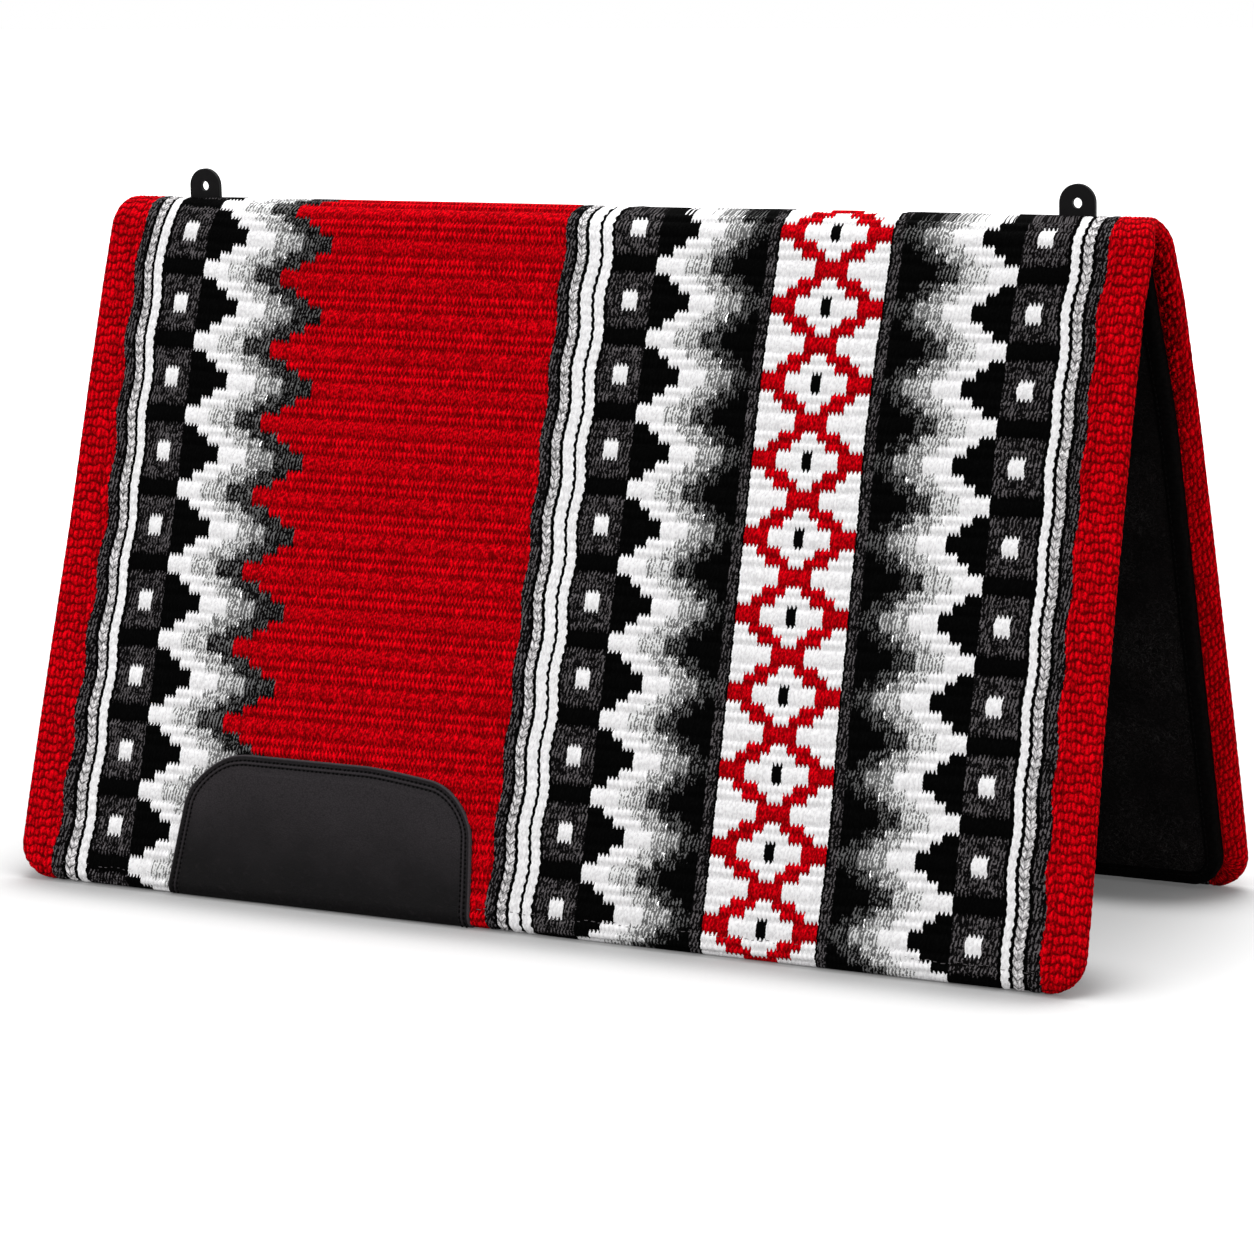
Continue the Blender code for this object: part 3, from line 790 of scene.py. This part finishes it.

    # Light and dark of the yarn: heather has light yarns among dark ones; the beads also get a painted
    # highlight
    strokes = ridge * 0.12 + stray * 0.12 + fibre * 0.95
    mixed = f.level(strokes, 0.035, 0.1, -1.2, 5.2)
    even = stray * 0.6 + ridge * 0.3 + fibre * 10.0
    # painted highlight on the beads: an oval a little above the middle of each row is lighter and the gaps
    # between beads are darker; each bead's yarn also differs at random
    middle = f.math("POWER", fallen * 2.0 - 0.86, 2.0)
    oval = f.math("POWER", bead, 1.4) * f.unit(middle * -1.4 + 1.0)
    bead_highlight_and_tone = f.level(oval, 0.03, 0.42, 0.0, 1.0) * 1.9 + even * 0.6
    bead_highlight_and_tone = bead_highlight_and_tone + f.chance(f.math("ROUND", bead_at), number) * 1.2 - 0.72
    chained = f.near(fleck, 0.53, 0.005) * (1.0 - in_figure)
    light = f.choose(beaded * (1.0 - chained), bead_highlight_and_tone, even)
    light = f.choose(fleck > 0.55, mixed, light * (chained * -0.45 + 1.0))
    factor = f.maximum(light, -1.1) * fleck + 1.0
    pale = f.near(fleck, 0.66, 0.04)
    weight = f.unit(fleck * 1.9 - 0.1) * (pale * -0.65 + 1.0)
    inside = past_end(f, x)
    streaked = f.level(strokes - (fleck * 2.0 - 1.3), -0.05, 0.05, 0.2, 1.0)
    factor = f.choose(pale, streaked, factor) * f.level(inside, 2.0, 10.0, 1.0, 1.6)
    # inside the ends the wool is matted into knots; painted shade darkens it between the knots and towards
    # the felt, less further down
    knots = f.noise(f.join((x - down) * 0.34, (x + down) * 0.13), 1.0, 1.0)
    knotted_painted_shade = f.level(knots, 0.4, 0.58, 0.75, 0.0) + f.level(inside, 8.0, 26.0, 0.05, 0.3)
    knotted_painted_shade = (frayed < f.level(inside, 8.0, 20.0, -0.14, 0.03)) * 0.6 + knotted_painted_shade
    knotted_painted_shade = knotted_painted_shade * f.level(inside, 3.0, 9.0, 0.0, 1.0) * f.level(down, 60.0, 220.0, 1.0, 0.3)
    # painted shade darkens the colour: in the grooves, on the lower part of each rib or row, and inside the
    # ends
    dim = (groove * (border * -0.1 + 0.36) + under * 0.28) * weight
    dim = f.unit(1.0 - f.maximum(dim, f.minimum(knotted_painted_shade, 0.97)))
    twist = f.level(abs(abs(swayed - 405.7) - 382.6), 0.3, 1.4, 0.35, 0.0)
    # the light cords are chains whose slanting links meet in dark corners
    at_left, at_middle, at_right = (abs(swayed - at) for at in (43.3, 395.85, 767.4))
    from_middle = f.minimum(f.minimum(at_left, at_middle), at_right)
    link = f.fold(from_middle * 0.16 + units + frayed * 0.3, 0.5)
    joint = f.level(link, 0.03, 0.15, 1.0, 0.0)
    joint = f.maximum(joint, f.level(from_middle, 0.0, 0.7, 0.55, 0.0))
    dim = dim * (1.0 - twist) * (joint * chained * -0.85 + 1.0)
    f.coat(f.node("VectorMath", {0: shade, "Scale": factor * dim}, operation="SCALE"))

    # Relief finer than the mesh, least on the white
    fine = ridge * 0.15 + fibre * 1.6
    fine = f.choose(beaded, bead * 0.6 + fine * 0.5, fine)
    height = f.noise(spot, 2.6, 2.0, 0.6) * 0.3 + groove * -0.35 + fine
    f.bump(height * (weight * 0.65 + 0.35), 0.0008, 0.8)
    return f.material


def felt_finish(colours):
    """Pressed felt with loose curled fibres that catch the light."""
    f = Finish("pressed_felt", 0.95, 0.05)
    x, _, down = f.place()
    spot = f.join(x, down)
    curl = abs(f.noise(spot, 0.16, 2.0, 0.6, 1.6) - 0.5)
    finer = abs(f.noise(f.join(x + 91, down + 37), 0.3, 2.0, 0.6, 2.2) - 0.5)
    patch = f.level(f.noise(spot, 0.02, 3.0), 0.35, 0.75, 0.2, 1.0)
    hairs = f.maximum(f.unit(1.0 - curl * 34.0), f.unit(1.0 - finer * 30.0) * 0.7) * patch
    cloudy = f.level(f.noise(spot, 0.035, 4.0, 0.6), 0.3, 0.7, 0.0, 1.0)
    ground = f.mix(cloudy, toned(colours.felt, 0.65), toned(colours.felt, 1.6))
    f.coat(f.mix(hairs, ground, (0.055, 0.05, 0.05, 1)))
    f.bump(hairs * 0.5 + f.noise(spot, 1.4, 4.0, 0.7), 0.0007, 0.8)
    return f.material


def tape_finish(colours):
    """Woven tape: slanted fine ribs."""
    f = Finish("woven_tape", 0.9, 0.02)
    x, edge, down = f.place()
    weave = f.cos((x + down * 0.6) * (TURN / 1.3)) * f.cos(edge * (TURN / 0.9))
    worn = f.noise(f.join(x, down), 0.5, 3.0)
    share = f.level(weave * 0.12 + worn, 0.3, 0.75, 0.0, 1.0)
    f.coat(f.mix(share, toned(colours.tape, 0.6), toned(colours.tape, 1.9)))
    f.bump(weave * 0.3 + worn, 0.0004, 0.8)
    return f.material


def leather_finish(colours):
    """Grained leather, with painted light: lighter towards the upper right, painted shade towards the hem
    and a painted highlight on its turned rim.
    """
    f = Finish("grained_leather", 0.5, 0.07)
    x, edge, up = f.place()
    spot = f.join(x, up)
    cell = {"Vector": f.join(f.noise(spot, 0.35) * 2.4 + x, up), "Scale": 0.62}
    pebble = f.minimum(f.node("TexVoronoi", cell, feature="DISTANCE_TO_EDGE"), 0.28)
    crease = f.noise(f.join(x * 0.5, x * 0.25 + up), 0.3, 5.0, 0.65, 0.6)
    # painted light: lighter towards the upper right, and painted shade towards the hem
    painted_light_share = f.noise(spot, 0.02, 3.0, 0.6) * 60.0 + x * 0.06 + up
    painted_light_share = f.level(painted_light_share, 48.0, 125.0, 0.0, 1.0)
    tone = f.mix(painted_light_share, toned(colours.leather, 0.15), toned(colours.leather, 1.6))
    seam = f.level(edge, 3.1, 4.0, 0.0, 1.0) * f.level(edge, 7.9, 8.8, 1.0, 0.0)
    # the grain is darker, the creases and the band between the stitch rows lighter, the margin outside them
    # darker; painted shade in the stitched grooves and a painted highlight on the rolled rim
    layers = [
        (f.level(pebble, 0.0, 0.16, 0.6, 0.0), 0.3), (f.level(crease, 0.5, 0.7, 0.0, 0.25), 1.5),
        (seam * 0.45, 2.2), (f.level(edge, 2.6, 3.4, 0.6, 0.0), 0.3),
        *((f.level(abs(edge - row), 0.4, 1.2, 0.8, 0.0), 0.2) for row in SEAM_ROWS),
        (f.level(edge, 0.4, 1.9, 0.8, 0.0), 4.0),
    ]
    for share, times in layers:
        tone = f.mix(share, tone, toned(colours.leather, times))
    f.coat(tone)
    f.put(f.level(crease, 0.3, 0.7, 0.45, 0.62), f.shader["Roughness"])
    f.bump(crease * 0.9 + pebble, 0.00045, 0.8)
    return f.material


def thread_finish(name, colour):
    """Twisted thread."""
    f = Finish(name, 0.7, 0.05)
    twist = f.noise(f.position(), 1500.0)
    f.coat(f.mix(twist, toned(colour, 0.55), toned(colour, 1.4)))
    f.bump(twist, 0.0002, 0.6)
    return f.material


def tab_finish(colours):
    """Moulded plastic with a fine dull texture and rubbed patches."""
    f = Finish("moulded_tab", 0.45, 0.08)
    rubbed = f.noise(f.position(), 260.0, 3.0)
    f.coat(f.mix(rubbed, toned(colours.tab, 0.6), toned(colours.tab, 1.7)))
    f.put(f.level(rubbed, 0.3, 0.7, 0.42, 0.6), f.shader["Roughness"])
    f.bump(f.noise(f.position(), 2600.0, 3.0, 0.6), 0.00012, 0.6)
    return f.material


def bend_with(item, drape, side):
    start = (0, 0, drape.centre + drape.middle)
    end = drape.point(0.0, drape.bend, drape.middle)
    side * abs(end[1])
    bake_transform(item)


class Patch:
    """The outline of a wear leather: round upper corners, and turned under the hem."""

    def __init__(self, shape):
        low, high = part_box("near_wear_leather")
        self.shape = shape
        self.middle, self.half = (low.x + high.x) / 2, (high.x - low.x) / 2
        self.top, self.corner = shape.leather_top, shape.leather_corner
        self.round = shape.hem
        self.turned = math.radians(128)  # how far the leather goes round the hem
        self.under = self.round * self.turned

    def warp(self, x, above):
        """How far the hand-cut patch departs from its plan: its sides spread towards the hem and
        its top falls away to the right."""
        share = np.clip(x / self.half, -1, 1)
        low = (0.063 - above) / 0.053
        fall = 10 * np.clip((share - 0.25) / 0.75, 0, 1) ** 1.3 + 6 * step(-share, 0.6, 0.92)
        fall = fall * step(above, 0.02, 0.09)
        return (share * (4.65 * low - 2.55) - 1.6) * MM, fall * MM

    def inset(self, x, above):
        """How far in from the outline a place on the cloth is; negative outside it."""
        moved, fall = self.warp(x - self.middle, above)
        across = np.abs(x - moved - self.middle) - (self.half - self.corner)
        up = above + fall - (self.top - self.corner)
        a, b = np.maximum(across, 0), np.maximum(up, 0)
        return self.corner - np.hypot(a, b) - np.minimum(np.maximum(across, up), 0)

    def pressed(self, x, above):
        return 0.0019 * step(self.inset(x, above), 0.0004, 0.0036)

    def path(self, inset, pace=0.0032):
        """Places along the outline moved in: x, length up from the turned under end, and outward."""
        arc = self.corner - inset
        side = self.under + self.top - self.round - self.corner
        places = []
        for q in np.linspace(0, side, round(side / pace) + 1):
            places.append((-self.half + inset, q, -1, 0))
        for turn in np.linspace(0, math.pi / 2, 20)[1:]:
            out, up = -math.cos(turn), math.sin(turn)
            places.append((-self.half + self.corner + arc * out, side + arc * up, out, up))
        mirrored = [(-x, q, -a, b) for x, q, a, b in places[::-1]]
        reach = self.half - self.corner
        top = [(x, side + arc, 0, 1) for x in np.linspace(-reach, reach, TOP + 2)[1:-1]]
        return np.array(places + top + mirrored)

    def point(self, drape, x, q, lift):
        """A point on the leather, lifted off the crests of the cloth's ribs."""
        x, q, lift = np.broadcast_arrays(x, q, lift)
        turn = self.turned * (1 - np.clip(q / self.under, 0, 1))
        reach = self.round + lift
        n = self.shape.outside - self.round + reach * np.cos(turn)
        above = self.round - reach * np.sin(turn) + np.maximum(q - self.under, 0)
        moved, fall = self.warp(x, above)
        place = drape.point(self.middle + x + moved, drape.end - above + fall, n)
        place[..., 2] = np.maximum(place[..., 2], 0.0002)
        return place


TOP = 58  # places along the straight top of a leather
# Rings of the leather's face, in from its edge, in millimetres
RIM = (0.0, 0.15, 0.4, 0.8, 1.3, 2.0, 2.8, 3.5, 3.9, 4.2, 4.5, 4.9, 5.4, 5.9, 6.4, 6.8, 7.1, 7.4, 7.7,
       8.1, 8.7, 9.6, 11.0, 14.0)


def rim_lift(shape, e):
    """How the leather's face rises from its edge: a rolled rim, two stitched grooves, a soft pad."""
    def swell(at, wide):
        return np.exp(-(((e - at) / wide) ** 2))

    roll = np.sqrt(np.clip(1 - (1 - np.clip(e / 0.0011, 0, 1)) ** 2, 0, 1))
    roll = (shape.leather_rise + 0.0004) * roll - 0.0006 + 0.0006 * step(e, 0, 0.0008)
    first, second = (row * MM for row in SEAM_ROWS)
    grooves = 0.0004 * (swell(first, 0.0006) + swell(second, 0.0006))
    pad = 0.0002 * swell((first + second) / 2, 0.0008)
    return roll - 0.0004 * step(e, 0.0016, 0.0040) - grooves + pad + 0.0005 * step(e, 0.0078, 0.022)


def leather_mesh(name, shape, side, material):
    patch, drape = Patch(shape), Drape(shape, side)
    deepest = RIM[-1] * MM
    path = patch.path(deepest)
    rings = [np.column_stack([path[:, :2] + path[:, 2:] * (deepest - e * MM), np.full(len(path), e * MM)])
             for e in RIM]
    count, corner = len(path), (len(path) - TOP) // 2
    inner = rings[-1]
    rows = []
    for i in range(corner - 1):
        left, right = inner[i, 0], inner[count - 1 - i, 0]
        across = np.linspace(left, right, TOP + 2)[1:-1]
        edge = deepest + np.minimum(across - left, right - across)
        rows.append(np.stack([across, np.full(TOP, inner[i, 1]), edge], -1))
    flat = np.concatenate(rings + rows)
    x, up, edge = flat.T
    uneven = 0.00018 * np.sin(x * 61 + up * 83) * np.sin(up * 47 - x * 29)
    front = patch.point(drape, x, up, rim_lift(shape, edge) + uneven * step(edge, 0.008, 0.02))
    back = patch.point(drape, x, up, LEATHER_BACK)
    number = np.arange(len(RIM) * count).reshape(len(RIM), count)
    # Inside the last ring lie rows from its left side to its right side, and its top closes them
    field = np.empty((corner, TOP + 2), int)
    field[-1] = number[-1, corner - 1:corner + TOP + 1]
    field[:-1, 0], field[:-1, -1] = number[-1, :corner - 1], number[-1, :-corner:-1]
    field[:-1, 1:-1] = number.size + np.arange((corner - 1) * TOP).reshape(-1, TOP)
    faces = grid(number) + grid(field.T)
    total = len(flat)
    faces += [[v + total for v in f[::-1]] for f in faces]
    bottom = [*number[:, 0], *field[0, 1:], *number[-2::-1, -1]]
    for line in (number[0, ::-1], bottom):
        for a, b in zip(line, line[1:]):
            faces.append((a, b, b + total, a + total))
    place = np.stack([x, edge, up], -1) / MM
    points = np.concatenate([front, back])
    return mesh_object(name, points, faces, material, np.concatenate([place, place]), side < 0)


def thread_mesh(name, lines, radius, material):
    """Separate stitches. Each line is its start, its end and the way out of the cloth."""
    ring = [(math.cos(a), math.sin(a)) for a in np.linspace(0, TURN, 7)[:-1]]
    # how far along a ring lies, how high and how wide it is, in radii
    shapes = ((0.0, -0.9, 0.35), (0.12, 0.0, 0.85), (0.35, 0.35, 1.0),
              (0.65, 0.35, 1.0), (0.88, 0.0, 0.85), (1.0, -0.9, 0.35))
    points, faces = [], []
    for start, end, out in lines:
        start, end, out = (np.asarray(v, float) for v in (start, end, out))
        beside = np.cross(end - start, out)
        beside /= np.linalg.norm(beside)
        base = len(points)
        for share, rise, wide in shapes:
            centre = start + (end - start) * share + out * rise * radius
            points += [centre + radius * wide * (a * beside + b * out) for a, b in ring]
        for r in range(len(shapes) - 1):
            for k in range(6):
                a, b = base + r * 6 + k, base + r * 6 + (k + 1) % 6
                faces.append((a, a + 6, b + 6, b))
        faces += [tuple(base + k for k in range(6)), tuple(base + 35 - k for k in range(6))]
    return mesh_object(name, points, faces, material)


def along_path(path, pace, share):
    """Start and end places of stitches along a path of places in metres."""
    length_at = run_along(path)
    starts = np.arange(pace * 0.4, length_at[-1] - pace, pace)
    pairs = []
    for number, at in enumerate(starts):
        at += pace * 0.06 * math.sin(number * 2.9)
        pairs.append([tuple(np.interp(where, length_at, path[:, k]) for k in range(2))
                      for where in (at, at + pace * share)])
    return pairs


class Liner:
    """The felt's and the tape's outline, set in from the cloth's."""

    def __init__(self, shape, side):
        self.shape, self.drape = shape, Drape(shape, side)
        self.half = shape.spine / 2 - shape.inset_end
        self.low = shape.inset_hem
        self.corner = shape.liner_corner

    def drawn_in(self, x, t):
        """Over the fold the liner's ends lie further in."""
        more = 0.0065 * (1 - step(t, 0.02, 0.175)) * step(np.abs(x), self.half - 0.06, self.half - 0.012)
        return x - np.sign(x) * more

    def outline(self):
        """Places along the outline from the ridge down, along the hem and up again: x, above, outward."""
        top, places = self.drape.end, []
        for above in np.linspace(top, self.low + self.corner, 130):
            places.append((-self.half, above, -1, 0))
        for turn in np.linspace(0, math.pi / 2, 14)[1:]:
            places.append((-self.half + self.corner * (1 - math.cos(turn)),
                           self.low + self.corner * (1 - math.sin(turn)), -math.cos(turn), -math.sin(turn)))
        places += [(x, self.low, 0, -1) for x in np.linspace(self.corner - self.half, 0, 62)[1:]]
        return np.array(places + [(-x, above, -a, b) for x, above, a, b in places[:-1][::-1]])


def tape_mesh(name, shape, side, material):
    """The tape round the liner's edge, one closed band down both ends and along the hem."""
    liner = Liner(shape, side)
    path = liner.outline()
    face, felt = shape.tape_in, shape.felt_in
    section = [
        (0.0, 0.0150), (0.0, 0.0092), (0.0004, 0.0076), (0.0014, 0.0063), (0.0030, face + 0.0002),
        (0.0050, face), (0.0074, face + 0.0001), (0.0082, face + 0.0005), (0.0090, face + 0.0002),
        (0.0102, face + 0.0006), (0.0107, felt - 0.0004), (0.0104, felt + 0.0004), (0.0080, felt + 0.0006),
        (0.0036, felt + 0.0004), (0.0018, felt + 0.0012), (0.0012, 0.0096), (0.0012, 0.0150),
    ]
    points, places = [], []
    for far, (x, above, out_x, out_up) in zip(run_along(path), path):
        for k, (inward, n) in enumerate(section):
            wavy = 0.00012 * math.sin(far * 400 + k) + 0.0001 * math.sin(far * 173)
            t = liner.drape.end - (above - out_up * inward)
            points.append(liner.drape.point(liner.drawn_in(x - out_x * inward, t), t, n + wavy))
            places.append((far / MM, inward / MM, k))
    number = np.arange(len(points)).reshape(len(path), -1)
    faces = grid(np.column_stack([number, number[:, 0]])) + [number[0, ::-1], number[-1]]
    return mesh_object(name, points, faces, material, places, side > 0)


def felt_mesh(name, shape, side, material):
    """One half of the felt, from the ridge to the hem, closed."""
    liner = Liner(shape, side)
    drape, half, low = liner.drape, liner.half - FELT_IN_TAPE, liner.low + FELT_IN_TAPE
    columns = np.linspace(-half, half, 161)
    top = drape.end - low
    turned = liner.corner * (1 - np.sin(np.linspace(0, math.pi / 2, 8)[1:]))
    above = np.concatenate([np.linspace(top, liner.corner, 96), turned])
    above[-1] = 0
    rows, cols = np.meshgrid(above, columns, indexing="ij")
    corner = liner.corner - FELT_IN_TAPE
    x = squeezed(cols, rows, half, corner, 0.05)
    depth = rim(x, rows, half, corner)[0]
    thick = shape.felt_out - shape.felt_in
    fall = rounded(depth, thick / 2)[0]
    uneven = 0.00035 * np.sin(x * 90 + rows * 40) * np.sin(rows * 71 - x * 33) * np.clip(depth / 0.02, 0, 1)
    t = drape.end - low - rows
    drawn = liner.drawn_in(x, t)
    front = drape.point(drawn, t, shape.felt_out - fall)
    back = drape.point(drawn, t, shape.felt_in + fall - uneven)
    number = np.arange(rows.size).reshape(rows.shape)
    below = number + rows.size
    below[-1] = number[-1]
    below[:, 0], below[:, -1] = number[:, 0], number[:, -1]
    across_top = np.stack([below[0], number[0]])
    faces = grid(number) + [f[::-1] for f in grid(below)]
    faces += [list(dict.fromkeys(f)) for f in grid(across_top)]
    used = sorted({v for f in faces for v in f})
    new = {v: i for i, v in enumerate(used)}
    faces = [[new[v] for v in f] for f in faces]
    points = np.concatenate([front.reshape(-1, 3), back.reshape(-1, 3)])[used]
    flat = np.stack([x / MM, np.zeros_like(x), t / MM], -1).reshape(-1, 3)
    return mesh_object(name, points, faces, material, np.concatenate([flat, flat])[used], side < 0)


# Operators


class BLANKET_OT_weave(bpy.types.Operator):
    """Weave both halves of the cloth over the spine"""

    bl_idname = "blanket.weave"
    bl_label = "Woven Cloth"

    def execute(self, context):
        settings = context.scene.saddle_blanket
        shape = settings.shape
        wool, patch = wool_finish(settings.colours), Patch(shape)
        thread = thread_finish("hem_thread", linear(105, 101, 103))
        for name, side in SIDES:
            drape = Drape(shape, side)
            item = weave_half(name, shape, side, wool, patch.pressed)
            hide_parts(name + "_woven_drop", "woven_fold")
            bend_with(item, drape, side)
            hem = self.hem_seam(name, shape, drape, patch, thread)
            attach(hem, name + "_side")
        return {"FINISHED"}

    @staticmethod
    def hem_seam(name, shape, drape, patch, thread):
        lines = []
        for number, x in enumerate(np.arange(32 - MIDDLE, 781 - MIDDLE, 5.2) * MM):
            above = 0.0128 + 0.0007 * math.sin(number * 1.7) + 0.0005 * math.sin(number * 0.61)
            long = 0.0028 + 0.0007 * math.sin(number * 2.3)
            if patch.inset(x, above) > -0.004:
                continue  # the leather covers the seam here
            rise = 0.0004 * math.sin(number * 3.1)
            ends = (drape.point(at, drape.end - up, shape.outside - 0.0004)
                    for at, up in ((x, above), (x + long, above + rise)))
            lines.append((*ends, drape.axes(drape.end - above)[0]))
        return thread_mesh(name + "_hem_stitches", lines, 0.00022, thread)


class BLANKET_OT_liner(bpy.types.Operator):
    """Lay the felt inside the cloth and bind its edge with tape"""

    bl_idname = "blanket.liner"
    bl_label = "Felt Liner"

    def execute(self, context):
        settings = context.scene.saddle_blanket
        shape, colours = settings.shape, settings.colours
        felt, tape = felt_finish(colours), tape_finish(colours)
        thread = thread_finish("liner_thread", linear(18, 17, 17))
        for name, side in SIDES:
            drape = Drape(shape, side)
            sheet = felt_mesh(name + "_felt", shape, side, felt)
            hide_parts(name + "_felt_panel", "felt_fold")
            band = tape_mesh(name + "_binding", shape, side, tape)
            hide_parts(name + "_felt_binding", "left_fold_binding", "right_fold_binding")
            seam = self.seam(name, shape, side, thread)
            for item in (sheet, band, seam):
                bend_with(item, drape, side)
            2 * Liner(shape, side).half
            drape.end - shape.inset_hem
        return {"FINISHED"}

    @staticmethod
    def seam(name, shape, side, thread):
        liner = Liner(shape, side)
        drape, path = liner.drape, liner.outline()
        lines = []
        for pair in along_path(path[:, :2] - 0.0082 * path[:, 2:], 0.0046, 0.62):
            places = [(x, drape.end - above) for x, above in pair]
            ends = (drape.point(liner.drawn_in(x, t), t, shape.tape_in + 0.0004) for x, t in places)
            lines.append((*ends, -drape.axes(places[0][1])[0]))
        return thread_mesh(name + "_binding_stitches", lines, 0.00035, thread)


class BLANKET_OT_leathers(bpy.types.Operator):
    """Sew a wear leather on each drop, turned under the hem"""

    bl_idname = "blanket.leathers"
    bl_label = "Wear Leathers"

    def execute(self, context):
        settings = context.scene.saddle_blanket
        shape = settings.shape
        hide = leather_finish(settings.colours)
        thread = thread_finish("leather_thread", linear(5, 5, 5))
        patch = Patch(shape)
        for name, side in SIDES:
            drape = Drape(shape, side)
            leather = leather_mesh(name + "_leather", shape, side, hide)
            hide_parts(name + "_wear_leather")
            lines = []
            for row in SEAM_ROWS:
                lift = rim_lift(shape, row * MM)
                for pair in along_path(patch.path(row * MM), 0.0036, 0.6):
                    ends = [patch.point(drape, x, q, lift + 0.0002) for x, q in pair]
                    outer = patch.point(drape, *pair[0], lift + 0.0012)
                    out = outer - ends[0]
                    if np.linalg.norm(out) > 0.0004 and ends[0][2] > 0.001:
                        lines.append((ends[0], ends[1], out / np.linalg.norm(out)))
            sewn = thread_mesh(name + "_leather_stitches", lines, 0.0007, thread)
            for item in (leather, sewn):
                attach(item, name + "_side")
        return {"FINISHED"}


class BLANKET_OT_tabs(bpy.types.Operator):
    """Give the hanging tabs their moulded finish"""

    bl_idname = "blanket.tabs"
    bl_label = "Hanging Tabs"

    def execute(self, context):
        finish = tab_finish(context.scene.saddle_blanket.colours)
        for name in ("left_hanging_tab", "right_hanging_tab"):
            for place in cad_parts[name].material_slots:
                place.material = finish
        return {"FINISHED"}


class BLANKET_OT_stage(bpy.types.Operator):
    """Set the camera, the lamps, the floor and the white surroundings"""

    bl_idname = "blanket.stage"
    bl_label = "Studio"

    def execute(self, context):
        scene, studio = context.scene, context.scene.saddle_blanket.studio
        scene.view_settings.view_transform = "Standard"
        camera = bpy.data.objects.new("camera", bpy.data.cameras.new("camera"))
        scene.collection.objects.link(camera)
        scene.camera = camera
        camera.data.sensor_width = 36
        reach, wide = 4095.7, 1254  # the fitted lens and the frame, in the photograph's pixels
        camera.data.lens = camera.data.sensor_width * reach / wide
        camera.data.clip_start, camera.data.clip_end = 0.1, 60
        yaw, pitch, roll = math.radians(28.26), math.radians(10.46), -0.0218
        turn = Matrix.Rotation(yaw, 4, "Z") @ Matrix.Rotation(math.pi / 2 - pitch, 4, "X")
        turn = turn @ Matrix.Rotation(roll, 4, "Z")
        camera.matrix_world = Matrix.Translation((1.341, -2.4848, 0.7053)) @ turn

        floor = bpy.data.objects.new("floor", bpy.data.meshes.new("floor"))
        corners = [(14 * x, 14 * y, 0) for x, y in ((-1, -1), (1, -1), (1, 1), (-1, 1))]
        floor.data.from_pydata(corners, [], [(0, 1, 2, 3)])
        scene.collection.objects.link(floor)
        floor.data.materials.append(self.floor_finish())
        self.surroundings(scene, studio.room)
        self.lamp(scene, "key_lamp", (-1.6, -2.6, 2.3), 2.2, studio.key)
        self.lamp(scene, "top_lamp", (0.3, 0.9, 2.6), 2.4, studio.top)
        return {"FINISHED"}

    @staticmethod
    def floor_finish():
        f = Finish("white_floor", 0.9, 0.1)
        f.coat((0.4, 0.4, 0.4, 1))
        x, y, _ = f.split(f.position())
        off_side, off_end = abs(abs(y) - 0.155), abs(x) - 0.40  # from the hems, past the ends
        past = f.maximum(off_end, 0.0) * 2.2
        off = f.math("SQRT", past * past + off_side * off_side)
        # white where nothing stands within a hand's breadth, so that the shadow at the hems stays
        clear = f.node("AmbientOcclusion", {"Distance": 0.085}, "AO", samples=24)
        far = f.level(clear, 0.645, 1.0, 0.09, 0.62) + f.level(off, 0.6, 2.4, 0.0, 0.5)
        # painted shade: the glow is lower between the drops, under the blanket, but not past its ends
        between = f.level(abs(y), 0.05, 0.2, 0.66, 1.0)
        far = far * f.choose(f.level(off_end, -0.05, 0.12, 0.0, 1.0), 1.0, between)
        far = (far + f.level(off_end, 0.02, 0.3, 0.0, 0.12)) * f.seen()
        glow = f.node("Emission", {"Color": (1, 1, 1, 1), "Strength": far})
        plain = Value(f, f.tree.nodes["Principled BSDF"].outputs[0])
        f.put(f.node("AddShader", (plain, glow)), f.tree.nodes["Material Output"].inputs["Surface"])
        return f.material

    @staticmethod
    def surroundings(scene, strength):
        world = bpy.data.worlds.new("white_surroundings")
        scene.world = world
        world.use_nodes = True
        n = Nodes(world.node_tree)
        back = n.tree.nodes["Background"].inputs
        back["Color"].default_value = (1, 1, 1, 1)
        level = {"Value": n.seen(), "To Min": strength, "To Max": 1.0}
        n.put(n.node("MapRange", level), back["Strength"])

    @staticmethod
    def lamp(scene, name, place, size, power):
        light = bpy.data.lights.new(name, "AREA")
        light.size, light.energy = size, power
        item = bpy.data.objects.new(name, light)
        scene.collection.objects.link(item)
        item.location = place
        aim = Vector((0, 0, 0.25)) - Vector(place)
        item.rotation_euler = aim.to_track_quat("-Z", "Y").to_euler()


class BLANKET_PT_panel(bpy.types.Panel):
    """The blanket's pieces, in the order they are made"""

    bl_label = "Saddle Blanket"
    bl_idname = "BLANKET_PT_panel"
    bl_space_type = "VIEW_3D"
    bl_region_type = "UI"
    bl_category = "Blanket"

    def draw(self, context):
        settings = context.scene.saddle_blanket
        for group in (settings.shape, settings.colours, settings.studio):
            box = self.layout.box()
            for name in group.__annotations__:
                box.prop(group, name)
        for operator in OPERATORS:
            self.layout.operator(operator.bl_idname)


OPERATORS = (
    BLANKET_OT_weave, BLANKET_OT_liner, BLANKET_OT_leathers, BLANKET_OT_tabs, BLANKET_OT_stage,
)
CLASSES = (
    BlanketShape, BlanketColours, BlanketStudio, BlanketSettings, *OPERATORS, BLANKET_PT_panel,
)


def register():
    for item in CLASSES:
        bpy.utils.register_class(item)
    bpy.types.Scene.saddle_blanket = PointerProperty(
        name="Saddle blanket", description="Sizes, colours and lamps", type=BlanketSettings,
    )


def unregister():
    del bpy.types.Scene.saddle_blanket
    for item in reversed(CLASSES):
        bpy.utils.unregister_class(item)


def main():
    register()
    bpy.ops.blanket.weave()
    bpy.ops.blanket.liner()
    bpy.ops.blanket.leathers()
    bpy.ops.blanket.tabs()
    bpy.ops.blanket.stage()


if __name__ == "__main__":
    main()
